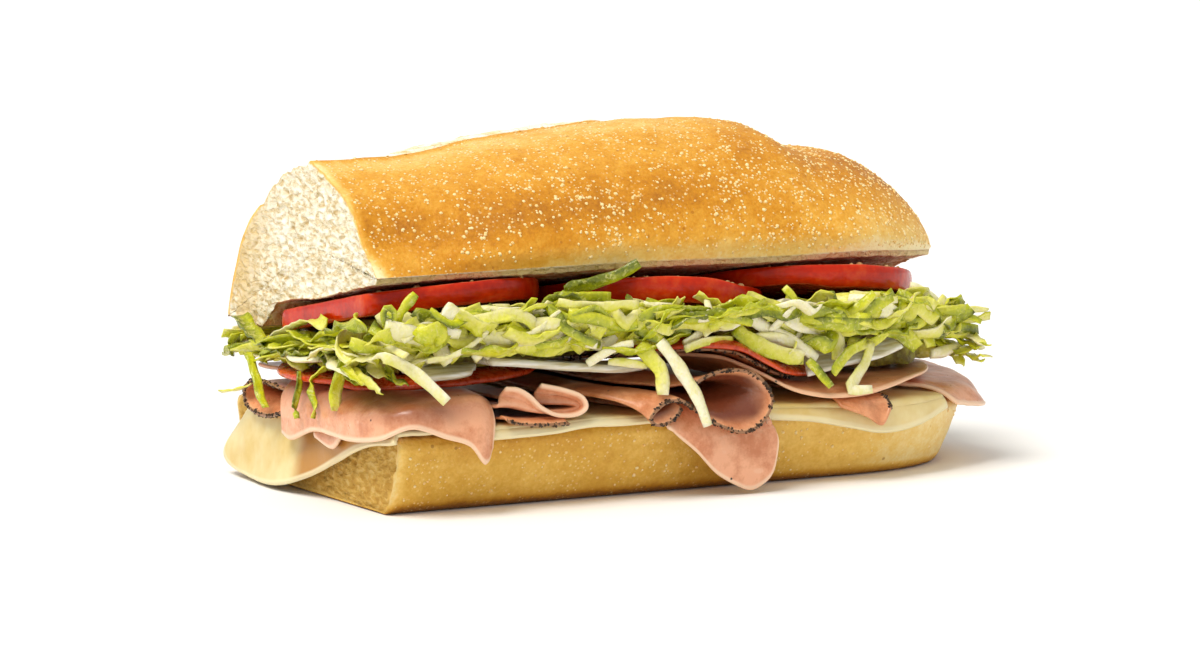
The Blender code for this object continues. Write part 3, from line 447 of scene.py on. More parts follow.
def make_piece(name, points, faces, material, nodes=(), marks=None):
    """A smooth mesh on the sandwich, with its marks kept at the points, in place of the named solids."""
    mesh = bpy.data.meshes.new(name)
    mesh.from_pydata((np.asarray(points, float) * MM).tolist(), [], faces)
    for key, values in (marks or {}).items():
        layer = mesh.attributes.new(key, "FLOAT", "POINT")
        layer.data.foreach_set("value", np.asarray(values, np.float32).ravel())
    shape = bmesh.new()
    shape.from_mesh(mesh)
    bmesh.ops.remove_doubles(shape, verts=shape.verts, dist=0.00001 * MM)
    bmesh.ops.recalc_face_normals(shape, faces=shape.faces)
    shape.to_mesh(mesh)
    shape.free()
    mesh.shade_smooth()
    mesh.materials.append(material)
    piece = bpy.data.objects.new(name, mesh)
    bpy.context.scene.collection.objects.link(piece)
    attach(piece, "root")
    if nodes:
        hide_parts(*nodes)
    return piece


def grid_faces(rows, columns, start=0, closed=False):
    """Quads over a grid of points; closed joins the last column to the first."""
    faces = []
    for r in range(rows - 1):
        for c in range(columns if closed else columns - 1):
            after = (c + 1) % columns
            a, b = start + r * columns, start + (r + 1) * columns
            faces.append((a + c, a + after, b + after, b + c))
    return faces


def through_ribs(ribs, along, across):
    """A smooth grid through ribs, each a few points from one edge of the slice to the other."""
    drawn = [smooth_path(rib, along, even=False) for rib in ribs]
    return np.array([smooth_path([rib[k] for rib in drawn], across, even=False) for k in range(along)])


def rim_turn(rows, columns):
    """Places (row, column) once round the edge of a grid."""
    turn = [(0, c) for c in range(columns)] + [(r, columns - 1) for r in range(1, rows)]
    turn += [(rows - 1, c) for c in range(columns - 2, -1, -1)] + [(r, 0) for r in range(rows - 2, 0, -1)]
    return np.array(turn)


def reach_from_edges(grid):
    """Distance over the slice from each of its four edges."""
    steps = np.linalg.norm(np.diff(grid, axis=0), axis=2)
    start = np.vstack([np.zeros((1, grid.shape[1])), np.cumsum(steps, axis=0)])
    steps = np.linalg.norm(np.diff(grid, axis=1), axis=2)
    first = np.hstack([np.zeros((grid.shape[0], 1)), np.cumsum(steps, axis=1)])
    return {"start": start, "end": start[-1] - start, "first": first, "last": first[:, -1:] - first}


pepper = []                     # places of the pepper grains, gathered from the slices' edges


def pepper_edge(grid, normal, inward, half, rng, spacing):
    """Notes pepper grains along an edge: place and size of each."""
    line = np.linalg.norm(np.diff(grid, axis=0), axis=1).sum()
    for _ in range(int(line / spacing)):
        at = rng.uniform(0.0, len(grid) - 1.001)
        k = int(at)
        place = mix(grid[k], grid[k + 1], at - k)
        if noise.noise(Vector(place / 3.0)) < rng.uniform(-1.1, 0.2):
            continue
        side = rng.choice((-1.0, 1.0))
        place = place + inward[k] * rng.triangular(-0.2, 0.9, 0.0)
        place = place + normal[k] * side * half * rng.uniform(0.3, 1.0)
        pepper.append((place, rng.triangular(0.20, 0.62, 0.34)))


def slab(name, grid, thickness, material, nodes, rims, ripple=0.10, peppered=(), spacing=0.34,
         deep=None):
    """A slice on a grid of middle points, with an uneven thickness and rounded edges."""
    rows, columns = grid.shape[:2]
    phase = sum(map(ord, name)) * 0.37
    along, across = unit(np.gradient(grid, axis=0)), unit(np.gradient(grid, axis=1))
    normal = unit(np.cross(along, across))
    waves = ripple * field(grid, 6.0, phase) + 0.3 * ripple * field(grid, 1.8, phase)
    middle = grid + normal * waves[..., None]
    half = 0.5 * thickness * (1.0 + 0.10 * field(grid, 8.0, phase + 4.0))[..., None]
    out = np.zeros_like(grid)
    out[0] -= along[0]
    out[-1] += along[-1]
    out[:, 0] -= across[:, 0]
    out[:, -1] += across[:, -1]
    turn = rim_turn(rows, columns)
    rim = np.array([middle[r, c] + unit(out[r, c]) * half[r, c] * 0.7 for r, c in turn])
    faces = grid_faces(rows, columns) + grid_faces(rows, columns, rows * columns)
    over = turn[:, 0] * columns + turn[:, 1]
    count = len(turn)
    for k in range(count):
        after = (k + 1) % count
        rim_a, rim_b = 2 * rows * columns + k, 2 * rows * columns + after
        faces.append((over[k], over[after], rim_b, rim_a))
        faces.append((rows * columns + over[k], rows * columns + over[after], rim_b, rim_a))
    reach = reach_from_edges(grid)
    edge = np.min([reach[rim] for rim in rims], axis=0).ravel()
    # The deep mark is painted shade, from the deep function where one is given
    marks = {"edge": np.concatenate([edge, edge, edge[over]]),
             "deep": np.zeros(2 * rows * columns + count)}
    if deep is not None:
        marks["deep"][:2 * rows * columns] = np.concatenate([side.ravel() for side in deep(grid, reach)])
    rng = random.Random(name)
    borders = {"start": (0, along[0]), "end": (-1, -along[-1])}
    for rim_name in peppered:
        if rim_name in borders:
            row, inward = borders[rim_name]
            pepper_edge(middle[row], normal[row], inward, thickness / 2, rng, spacing)
        else:
            column = 0 if rim_name == "first" else -1
            inward = across[:, 0] if rim_name == "first" else -across[:, -1]
            pepper_edge(middle[:, column], normal[:, column], inward, thickness / 2, rng, spacing)
    upper, lower = middle + normal * half, middle - normal * half
    points = np.vstack([upper.reshape(-1, 3), lower.reshape(-1, 3), rim])
    return make_piece(name, points, faces, material, nodes, marks)


def round_slice(name, centre, radius_at, top_at, thickness, material, nodes, rim_share, segments=156,
                rings=22, ripple=0.08, peppered=False, thickness_at=None):
    """A turned slice whose top face follows top_at(x, y); rim_share rounds its rim."""
    phase = sum(map(ord, name)) * 0.37
    radius = float(np.mean([radius_at(angle) for angle in np.linspace(0, 6.28, 40)]))
    soft = 0.5 * thickness * rim_share / radius
    over = [(share, 0.0) for share in np.linspace(0.0, 1.0 - soft, rings)]
    rim_angles = np.linspace(0.0, math.pi, 9)[1:-1]
    turn = [(1.0 - soft + soft * math.sin(a), 0.5 - 0.5 * math.cos(a)) for a in rim_angles]
    profile = np.array(over + turn + [(share, 1.0) for share, _ in reversed(over)])
    angles = np.linspace(0.0, 2 * math.pi, segments, endpoint=False)
    reach = np.array([radius_at(angle) for angle in angles])[:, None] * profile[None, :, 0]
    x = centre[0] + reach * np.cos(angles)[:, None]
    y = centre[1] + reach * np.sin(angles)[:, None]
    lie = np.stack([x, y, np.zeros_like(x)], axis=-1)
    wave = ripple * field(lie, 6.0, phase) + 0.4 * ripple * field(lie, 2.0, phase)
    z = top_at(x, y) + wave - profile[None, :, 1] * (thickness_at(x) if thickness_at else thickness)
    points = np.stack([x, y, z], axis=-1)
    columns = len(profile)
    faces = grid_faces(columns, segments, closed=True)
    points = points.transpose(1, 0, 2).reshape(-1, 3)
    edge = (radius_at(0.0) * (1.0 - profile[:, 0]))[:, None] * np.ones((1, segments))
    side = ((profile[:, 1] > 0.02) & (profile[:, 1] < 0.98)).astype(float)[:, None] * np.ones((1, segments))
    if peppered:
        rng = random.Random(name)
        line = points.reshape(columns, segments, 3)[rings + 3]
        inward = unit(np.array([centre[0], centre[1], 0.0]) - line * (1, 1, 0))
        pepper_edge(line, np.tile((0.0, 0.0, 1.0), (segments, 1)), inward, thickness / 2, rng, 0.34)
    return make_piece(name, points, faces, material, nodes, {"edge": edge, "side": side})


def wobbly(radius, amount, phase):
    """A round outline that is a little uneven."""
    return lambda angle: radius * (1.0 + amount * math.sin(2 * angle + phase)
                                   + 0.6 * amount * math.sin(3 * angle - 2 * phase))


# Bread

def end_taper(x, start, end, power):
    reach = np.clip((x - start) / (end - start), 0.0, 1.0)
    return (1.0 - reach ** power) ** (1.0 / power)


def stations(start, bend, end, straight_count, round_count):
    """Places along X: even up to the bend, then closer and closer towards the rounded end."""
    turn = np.linspace(0.0, math.pi / 2.0, round_count)
    return np.concatenate([np.linspace(start, bend, straight_count, endpoint=False),
                           bend + (end - bend) * np.sin(turn)])


CREST = ((-84, 75.9), (-70, 75.4), (-57, 75.2), (-47, 75.9), (-37, 77.1), (-18, 79.1), (1, 80.5), (12, 80.2),
         (20, 80.2), (28, 79.3), (33, 78.0), (38, 74.9), (44, 72.6), (51, 72.0), (58, 70.3), (69, 64.0),
         (77, 56.4), (82, 48.6), (84, 45.0))
CUT_OUTLINE = ((0.0, 0.0), (0.033, 0.126), (0.067, 0.263), (0.095, 0.45), (0.132, 0.615), (0.207, 0.79),
               (0.285, 0.936), (0.346, 1.0), (0.40, 1.0), (0.443, 0.995), (0.499, 0.975), (0.585, 0.925),
               (0.646, 0.86), (0.691, 0.81), (0.744, 0.765), (0.799, 0.69), (0.859, 0.56), (0.908, 0.40),
               (0.948, 0.265), (0.995, 0.054), (1.0, 0.0))
MIDDLE_OUTLINE = ((0.0, 0.0), (-0.025, 0.12), (-0.005, 0.30), (0.045, 0.50), (0.125, 0.71), (0.235, 0.88),
                  (0.37, 0.985), (0.47, 1.0), (0.60, 0.965), (0.74, 0.86), (0.86, 0.66), (0.95, 0.40),
                  (1.0, 0.18), (1.0, 0.0))
CROWN_OVER = 210                # points over the crust
CROWN_UNDER = 90                # points along the crumb underneath
CRUST_SKIN = 1.0                # thickness of the crust seen at the cut
CROWN_STATIONS = (130, 54)      # sections along the straight stretch and round the tip
CROWN_CUT_MIDDLE = (2.0, 57.0)
CROWN_CUT_RINGS = 70


def crown_baseline(x):
    """Front and back lower edges of the top roll at x, as two (y, z) pairs."""
    width = end_taper(x, 40.0, CROWN_END_X, 1.65)
    middle = np.array([mix(CROWN_FRONT[0], CROWN_BACK[0], 0.47), mix(CROWN_FRONT[1], CROWN_BACK[1], 0.47)])
    lift = -1.0 * ease((x + 20.0) / 50.0) + 1.2 * ease((x - 60.0) / 26.0)
    front = middle + (np.array(CROWN_FRONT) - middle) * width + np.array([0.0, lift])
    back = middle + (np.array(CROWN_BACK) - middle) * width + np.array([0.0, lift])
    return front, back


def underside(share):
    """How far the crumb lies below (negative) the line between the two lower edges."""
    front_lip = -CROWN_MARGIN * (1.0 - ease((share - 0.35) / 0.25))
    back_sag = -4.4 * ease((share - 0.72) / 0.06) * np.minimum((1.0 - share) / 0.22, 1.0)
    return front_lip * ease(share / 0.02) + back_sag


def slash_lines(x):
    """Where the split along the top starts and ends across the crust."""
    lip = mix(0.346, 0.52, ease((x - CUT_X) / (SLASH_END_X - CUT_X)))
    far = mix(0.70, 0.56, ease((x + 30.0) / (SLASH_END_X + 30.0)))
    return lip, far


def slash_relief(x, share):
    """The split along the top, as relief and as a mark of how open the crust is."""
    lip, far = slash_lines(x)
    fade = ease((SLASH_END_X - x) / 22.0)
    across = np.clip((share - lip) / max(far - lip, 0.02), 0.0, 1.0)
    ridge = 0.9 * np.exp(-((share - lip) / 0.02) ** 2)
    swell = mix(0.3, 2.6, ease((x - CUT_X - 2.0) / 32.0)) * np.sin(math.pi * across)
    inside = (across > 0.0) & (across < 1.0)
    deep = mix(0.5, 1.3, ease((x - CUT_X) / 20.0))
    groove = -deep * np.exp(-((share - lip - 0.035) / 0.02) ** 2)
    far_groove = -deep * np.exp(-((share - far + 0.02) / 0.018) ** 2)
    opened = ease(across / 0.10) * ease((1.0 - across) / 0.10) * ease((SLASH_END_X - x) / 5.0)
    return fade * (ridge + np.where(inside, swell + groove + far_groove, 0.0)), np.where(inside, opened, 0.0)


def crown_ring(x, cut, middle):
    """One section of the top roll: points, and the marks crumb, slash and bake at each."""
    front, back = crown_baseline(x)
    along = back - front
    length = np.linalg.norm(along)
    along = along / length
    up = np.array([-along[1], along[0]])
    blend = ease((x - CUT_X) / 45.0)
    outline = mix(cut, middle, blend)
    share, rise = outline[:, 0], outline[:, 1]
    foot = front + along * length * mix(0.346, 0.47, blend)
    height = max((float(read_line(CREST, x)) - foot[1]) / up[1], 0.6)
    relief, opened = slash_relief(x, share)
    relief = np.where(rise > 0.3, relief, 0.0)
    lie = np.column_stack([np.full(len(share), x), share * length, rise * height])
    lumps = 0.35 * field(lie, 14.0) + 0.16 * field(lie, 4.5, 3.0) + 0.07 * field(lie, 1.6, 5.0)
    relief = relief + lumps * ease(rise / 0.1) - 0.3
    relief = relief + opened * (0.55 * field(lie, (7.0, 2.0, 2.0), 9.0) + 0.2 * field(lie, 1.3, 2.0))
    lift = rise * height + relief * min(height / 20.0, 1.0)
    over = front + along * (length * share)[:, None] + up * lift[:, None]
    share_under = np.linspace(1.0, 0.004, CROWN_UNDER)
    under_lie = np.column_stack([np.full(CROWN_UNDER, x), share_under * length, np.zeros(CROWN_UNDER)])
    rag = 0.4 * field(under_lie, 3.0, 6.0) + 0.25 * field(under_lie, 1.2, 8.0)
    rag = rag * ease((1.0 - share_under) / 0.03)
    sag = underside(share_under) * min(height / 12.0, 1.0)
    lift = sag + rag * ease(share_under / 0.02) * 0.8
    under = front + along * (length * share_under)[:, None] + up * lift[:, None]
    points = np.vstack([over, under])
    points = np.column_stack([np.full(len(points), x), np.minimum(points[:, 0], CROWN_LIMIT_Y), points[:, 1]])
    low, left = 1.0 - ease(rise / 0.16), 1.0 - ease((x + 5.0) / 55.0)
    bake_and_painted_light = 0.46 + 0.24 * left * np.exp(-((rise - 0.40) / 0.22) ** 2)
    bake_and_painted_light = bake_and_painted_light + 0.24 * (1.0 - left) * np.exp(-((rise - 0.74) / 0.20) ** 2)
    # Painted bounce light: low on the crust the colour turns paler towards the right, and a little darker at
    # the far left
    light = ease((x + 58.0) / 36.0)
    bake_and_painted_light = bake_and_painted_light + low * mix(0.10, -0.30, light)
    bake_and_painted_light = bake_and_painted_light - 0.16 * left * ease((rise - 0.78) / 0.2)
    # Painted bounce light: paler low down towards the rounded end
    bake_and_painted_light = bake_and_painted_light - 0.26 * ease((x - 25.0) / 45.0) * ease((0.45 - rise) / 0.4)
    near_cut = 1.0 - ease((x - CUT_X) / 3.0)
    bake_and_painted_light = bake_and_painted_light - 0.25 * near_cut - 0.45 * (1.0 - ease((x - CUT_X) / 7.0)) * (1.0 - ease(rise / 0.22))
    lip, _ = slash_lines(x)
    bake_and_painted_light = bake_and_painted_light + 0.25 * np.exp(-((share - lip) / 0.02) ** 2) * ease((SLASH_END_X - x) / 10.0)
    crumb = np.concatenate([np.where(rise < 0.004, 1.0, 0.0), np.ones(CROWN_UNDER)])
    under_bake = 0.2 * (1.0 - ease((share_under - 0.018) / 0.02))
    slash = np.concatenate([opened, np.zeros(CROWN_UNDER)])
    return points, crumb, slash, np.concatenate([bake_and_painted_light, under_bake])


def cut_cap(ring, centre, steps, normal_x):
    """Rings of points over the cut face, from its outline in to its middle, with torn pores."""
    rings = []
    for step in range(1, steps + 1):
        share = step / steps
        rings.append(mix(ring, np.broadcast_to((ring[0, 0], *centre), ring.shape), share))
    cap = np.array(rings)
    inside = ease(np.linalg.norm(cap - ring, axis=-1) / 1.2)
    pores = 0.75 * field(cap, (3.0, 2.6, 2.6), 1.0) + 0.45 * field(cap, (1.5, 1.3, 1.3), 4.0)
    pits = np.minimum(field(cap, (4.0, 2.2, 2.2), 12.0) + 0.25, 0.0) * 2.2
    cap[..., 0] += normal_x * inside * np.minimum(pores * 0.55 + pits - 0.05, 0.12)
    return cap


def bread_piece(name, rings, cap_centre, cap_steps, material, node):
    """Joins sections, the cut face and the rounded tip into one mesh."""
    points = np.array([ring[0] for ring in rings])
    marks = [np.array([ring[k] for ring in rings]) for k in (1, 2, 3)]
    count = points.shape[1]
    cap = cut_cap(points[0], cap_centre, cap_steps, -1.0)
    depth = np.linalg.norm(cap - points[0], axis=-1)
    edge_mark = ease((depth - CRUST_SKIN * 0.5) / (CRUST_SKIN * 0.7))
    opened = marks[1][0] > 0.3
    cap_crumb = np.where(marks[0][0] > 0.5, 1.0, np.where(opened, 1.0, edge_mark))
    all_points = np.vstack([cap[::-1].reshape(-1, 3), points.reshape(-1, 3), points[-1].mean(axis=0)[None]])
    crumb = np.concatenate([cap_crumb[::-1].ravel(), marks[0].ravel(), [0.0]])
    slash = np.concatenate([np.zeros(cap.shape[0] * count), marks[1].ravel(), [0.0]])
    bake_and_painted_light = np.concatenate([np.full(cap.shape[0] * count, 0.30), marks[2].ravel(), [0.3]])
    rows = cap.shape[0] + len(points)
    faces = grid_faces(rows, count, closed=True)
    tip = rows * count
    faces += [((rows - 1) * count + c, (rows - 1) * count + (c + 1) % count, tip) for c in range(count)]
    return make_piece(name, all_points, faces, material, (node,),
                      {"crumb": crumb, "slash": slash, "bake_and_painted_light": bake_and_painted_light})


def make_crown(material):
    cut, middle = smooth_path(CUT_OUTLINE, CROWN_OVER), smooth_path(MIDDLE_OUTLINE, CROWN_OVER)
    places = stations(CUT_X, 40.0, CROWN_END_X - 0.4, *CROWN_STATIONS)
    rings = [crown_ring(x, cut, middle) for x in places]
    bread_piece("crown_bread", rings, CROWN_CUT_MIDDLE, CROWN_CUT_RINGS, material, "crown")
    return rings


HEEL_TOP = ((-84, 18.2), (-40, 17.9), (13, 17.6), (51, 16.6), (70, 15.6), (82, 14.5))
HEEL_SIDE = ((1.0, 0.0), (1.035, 0.05), (1.07, 0.16), (1.115, 0.34), (1.155, 0.55), (1.185, 0.75),
             (1.2, 0.86), (1.175, 0.96), (1.12, 1.0))
HEEL_SIDE_POINTS = 44
HEEL_TOP_POINTS = 60
HEEL_BASE_POINTS = 24
HEEL_STATIONS = (110, 44)
HEEL_CUT_MIDDLE = (0.0, 9.0)
HEEL_CUT_RINGS = 40


def heel_ring(x, side_line):
    width = end_taper(x, 38.0, HEEL_END_X, 2.5)
    base_width = HEEL_BASE_HALF_WIDTH * end_taper(min(x, HEEL_END_X - 4.0), 38.0, HEEL_END_X - 4.0, 2.5)
    top = float(read_line(HEEL_TOP, x))
    tip = ease((x - 60.0) / (HEEL_END_X - 60.0))
    foot = 4.0 * ease((x - (HEEL_END_X - 14.0)) / 14.0)
    reach, rise = (side_line[:, 0] - 1.0) / 0.2, side_line[:, 1]
    y = base_width + (HEEL_HALF_WIDTH * width - base_width) * reach
    lie = np.column_stack([np.full(len(y), x), y, rise * 20.0])
    relief = 0.4 * field(lie, 12.0) * (1.0 - tip) + 0.12 * field(lie, 4.0, 3.0) + 0.06 * field(lie, 1.5, 5.0)
    y = y + relief * ease(rise / 0.2)
    z = foot * (1.0 - rise) * ease(1.0 if width < 0.9 else 0.0) + rise * top
    inner = np.linspace(-y[-1], y[-1], HEEL_TOP_POINTS + 2)[1:-1]
    over = np.column_stack([np.full(HEEL_TOP_POINTS, x), inner, np.full(HEEL_TOP_POINTS, top)])
    over[:, 2] += 0.15 * field(over, 10.0) + 0.1 * field(over, 1.5, 3.0) - 0.05
    base = np.linspace(y[0] + 0.5, -y[0], HEEL_BASE_POINTS + 2)[1:-1]
    front = np.column_stack([np.full(len(y), x), -y, z])
    back = np.column_stack([np.full(len(y), x), y[::-1] + 0.5, z[::-1]])
    under = np.column_stack([np.full(HEEL_BASE_POINTS, x), base, np.full(HEEL_BASE_POINTS, z[0])])
    points = np.vstack([front, over, back, under])
    bake_and_painted_light = 0.44 + 0.62 * (1.0 - ease(rise / 0.17)) - 0.08 * ease((rise - 0.5) / 0.5)
    bake_and_painted_light = bake_and_painted_light - 0.36 * ease((x - 5.0) / 65.0)
    bake_and_painted_light = bake_and_painted_light + 0.22 * math.exp(-((x + 52.0) / 20.0) ** 2) * ease((rise - 0.55) / 0.3)
    bake_and_painted_light = bake_and_painted_light - 0.30 * (1.0 - ease((x - CUT_X) / 3.0))
    crumb_side = ease((rise - 0.93) / 0.06)
    crumb = [crumb_side, np.ones(HEEL_TOP_POINTS), crumb_side[::-1], np.zeros(HEEL_BASE_POINTS)]
    bakes = [bake_and_painted_light, np.full(HEEL_TOP_POINTS, 0.3), bake_and_painted_light[::-1], np.full(HEEL_BASE_POINTS, 0.95)]
    return points, np.concatenate(crumb), np.zeros(len(points)), np.concatenate(bakes)


def make_heel(material):
    side_line = smooth_path(HEEL_SIDE, HEEL_SIDE_POINTS)
    places = stations(CUT_X, 38.0, HEEL_END_X - 0.3, *HEEL_STATIONS)
    rings = [heel_ring(x, side_line) for x in places]
    bread_piece("heel_bread", rings, HEEL_CUT_MIDDLE, HEEL_CUT_RINGS, material, "heel")
    return rings


def blob_cloud(name, blobs, material, sides=6):
    """Many small grains as one mesh, each with a place, an outward direction, a radius and a height."""
    points, faces = [], []
    rng = random.Random(name)
    for place, normal, radius, height in blobs:
        normal = unit(np.asarray(normal, float))
        first = unit(np.cross(normal, (0.31, 0.95, 0.05)))
        second = np.cross(normal, first)
        start = len(points)
        turn = rng.uniform(0.0, 6.28)
        for offset, size, uneven, rise in ((0.0, 1.0, (0.75, 1.2), -0.2), (0.5, 0.62, (0.8, 1.1), 0.7)):
            for k in range(sides):
                angle = turn + 2 * math.pi * (k + offset) / sides
                outward = first * math.cos(angle) + second * math.sin(angle)
                reach = size * radius * rng.uniform(*uneven)
                points.append(place + outward * reach + normal * rise * height)
        points.append(place + normal * height)
        points.append(place - normal * 0.25 * height)
        for k in range(sides):
            after = (k + 1) % sides
            low, high = start + k, start + sides + k
            next_low, next_high = start + after, start + sides + after
            crest, foot = start + 2 * sides, start + 2 * sides + 1
            faces += [(low, next_low, high), (next_low, next_high, high), (high, next_high, crest),
                      (next_low, low, foot)]
    return make_piece(name, points, faces, material)


def crust_specks(crown_rings, heel_rings, material):
    """Pale raised specks over the crust, thick in some patches and thin in others."""
    rng = random.Random(SEED)
    crown = np.array([ring[0] for ring in crown_rings])
    opened = np.array([ring[2] for ring in crown_rings])
    heel = np.array([ring[0] for ring in heel_rings])
    highest = np.array(cad_bounds[1]) / MM - 0.1
    blobs = []
    while len(blobs) < SPECKS:
        on_crown = rng.random() < 0.965
        skin = crown if on_crown else heel
        x = rng.uniform(CUT_X + 1.5, CROWN_END_X - 2.0 if on_crown else HEEL_END_X - 2.0)
        row = int(np.argmin(np.abs(skin[:, 0, 0] - x)))
        row = min(max(row, 1), len(skin) - 2)
        column = rng.randrange(4, CROWN_OVER - 4) if on_crown else rng.randrange(6, HEEL_SIDE_POINTS - 6)
        place = skin[row, column]
        if on_crown and opened[row, column] > 0.05:
            continue
        patch = noise.noise(Vector(place / 16.0)) + 0.6 * noise.noise(Vector(place / 5.0))
        thick = 0.0
        if on_crown:
            thick = 0.5 * ease((place[2] - 58.0) / 10.0) + 0.25 * ease((place[0] + 40.0) / 60.0)
        if patch + thick < rng.uniform(-0.6, 0.9):
            continue
        along = skin[row + 1, column] - skin[row - 1, column]
        around = skin[row, column + 1] - skin[row, column - 1]
        normal = np.cross(around, along)
        if normal @ (place - (0.0, 6.0, 52.0 if on_crown else 8.0)) < 0.0:
            normal = -normal
        jitter = along * rng.uniform(-0.25, 0.25) + around * rng.uniform(-0.4, 0.4)
        size = rng.triangular(0.15, 0.62, 0.24)
        if (place + size > highest).any():
            continue
        blobs.append((place + jitter, normal, size, size * rng.uniform(0.35, 0.6)))
    blob_cloud("crust_specks", blobs, material)


# Slices, on the same curves as the solids

def crumb_height(y):
    slope = (CROWN_BACK[1] - CROWN_FRONT[1]) / (CROWN_BACK[0] - CROWN_FRONT[0])
    return CROWN_FRONT[1] + slope * (y - CROWN_FRONT[0])


TOMATO_DROP = ((-40, 2.0), (-28, 2.6), (0, 4.8), (10, 6.7), (15, 7.5), (32, 8.4))
SOLID_DROP = ((-40, 2.4), (-28, 3.6), (14, 7.8), (32, 8.6))
TOMATOES = {1: ((-59.6, -3.0), 30.2), 2: ((0.6, -5.5), 28.6), 3: ((41.7, -5.6), 28.6)}


def tomato_top(number, x, y):
    level_back = 1.9 * ease((y + 8.0) / 28.0)
    if number == 1:
        return 47.6 + 0.03 * (x - CUT_X) - 0.2 * (y + 18.7)
    if number == 2:
        return crumb_height(y) - read_line(TOMATO_DROP, x) + level_back
    return crumb_height(y) - 2.5 - 0.07 * (x - 14.0) + level_back


def tomato_depth(number, x):
    """Thickness of each tomato slice: the third is thinner where it lies on the second."""
    if number == 1:
        return np.full_like(x, 5.1)
    if number == 2:
        return 4.2 + read_line(SOLID_DROP, x) - read_line(TOMATO_DROP, x)
    return mix(4.3, 5.3, ease((x - 29.0) / 8.0))


def make_tomatoes(material):
    for number, (centre, radius) in TOMATOES.items():
        outline = wobbly(radius, 0.012, number * 1.7)

        def radius_at(angle, centre=centre, outline=outline):
            reach = outline(angle)
            if math.cos(angle) < -0.05:
                reach = min(reach, (CUT_X + 0.05 - centre[0]) / math.cos(angle))
            return reach

        round_slice(f"tomato_slice_{number}", centre, radius_at, lambda x, y, n=number: tomato_top(n, x, y),
                    TOMATO_THICKNESS, material, (f"tomato_{number}",), 0.30, ripple=0.12,
                    thickness_at=lambda x, n=number: tomato_depth(n, x))


PRESS = ((-60, 1.0), (-42, 1.0), (-20, 0.93), (0, 0.88), (42, 0.80))


def pressed(z, y):
    return 20.0 + (z - 20.0) * float(read_line(PRESS, y))


def fold_grid(front, back_y, shift, sill, along, across):
    """A folded slice from its front edge, a path of (x, y, z), back to back_y."""
    edge = smooth_path(front, along)
    foot = edge[:, 2].min()
    rows = []
    for x, y, z in edge:
        low = sill[0] + (z - foot) * sill[1]
        run = [(x, y, z), (x - 0.15 * shift, y + 1.6, mix(z, low, 0.48)),
               (x - 0.40 * shift, -43.0, mix(z, low, 0.88)),
               (x - 0.65 * shift, -38.0, low + 0.1), (x - shift, -24.0, pressed(low + 0.4, -24.0)),
               (x - shift * 1.1, back_y, pressed(low, back_y))]
        rows.append(smooth_path(run, across, even=False))
    return np.array(rows)


def make_cheese(material):
    level = HEEL_HEIGHT + GAP + CHEESE_THICKNESS / 2.0
    inner, brow = -62.6, -81.1
    left = [
        [(inner, 39.0, level), (-70, 35, level), (-79.2, 30, level), (-82.9, 27.8, 18.2),
         (-83.6, 27.5, 16.0)],
        [(inner, 30.0, level), (-72, 27, level), (brow, 24, level), (-83.7, 28, 16.0), (-84.6, 39.0, 7.0)],
        [(inner, 20.0, level), (-72, 20, level), (brow, 19, level), (-84.0, 24, 13.5), (-85.0, 38.5, 2.8)],
        [(inner, 10.0, level), (-72, 11, level), (brow, 11, level), (-84.2, 17, 11.5), (-85.4, 29.0, 1.1)],
        [(inner, 0.0, level), (-72, 2, level), (brow, 2, level), (-84.2, 6, 11.0), (-86.6, 11.0, 1.2)],
        [(inner, -10.0, level), (-72, -9, level), (brow, -9, level), (-83.6, -7, 13.0), (-84.8, -4.0, 5.0)],
        [(inner, -25.0, level), (-72, -25, level), (brow, -25, level), (-83.2, -26, 17.0),
         (-83.8, -28.0, 14.4)],
        [(inner, -41.8, level), (-72, -42.3, level), (brow, -42.6, level), (-82.8, -43, 18.4),
         (-83.4, -43.6, 17.4)],
    ]

    def front_painted_shade(grid, reach):
        """Painted shade: darker towards the front, where the ham hangs over the slice."""
        return 2 * (ease((4.0 - grid[..., 1]) / 6.0),)

    slab("cheese_slice_left", through_ribs(left, 70, 84), CHEESE_THICKNESS, material,
         ("cheese_left",), ("end", "first", "last"), ripple=0.25, deep=front_painted_shade)

    front_edge = ((-62, 16.8), (-45, 17.0), (-33, 18.0), (-23, 17.6), (-6, 18.0))
    middle = []
    for x in np.linspace(-61.8, -6.6, 7):
        flat = level - 0.1 - 0.004 * (x + 62.0)
        edge = float(read_line(front_edge, x))
        middle.append([(x, 39.5, flat), (x, 0.0, flat), (x, -38.6, flat), (x, -42.8, mix(flat, edge, 0.3)),
                       (x, -43.9, edge)])
    slab("cheese_slice_middle", through_ribs(middle, 60, 80), CHEESE_THICKNESS, material,
         ("cheese_middle",), ("end",))

    hang = ((-6, 17.4), (4, 17.2), (11, 16.4), (23, 15.2), (34, 12.9), (42, 11.2), (50, 11.4), (57, 13.2),
            (64, 15.2))
    right = []
    for x in np.linspace(-5.6, 63.0, 8):
        flat = float(read_line(HEEL_TOP, x)) + GAP + 0.35 + CHEESE_THICKNESS / 2.0
        side = HEEL_HALF_WIDTH * end_taper(x, 38.0, HEEL_END_X, 2.5)
        edge = float(read_line(hang, x))
        right.append([(x, side - 2.0, flat), (x, 0.0, flat), (x, -side + 2.8, flat),
                      (x + 0.3, -side - 1.8, mix(flat, edge, 0.3)), (x + 0.8, -side - 2.7, edge)])
    slab("cheese_slice_right", through_ribs(right, 54, 96), CHEESE_THICKNESS, material,
         ("cheese_right",), ("end",))


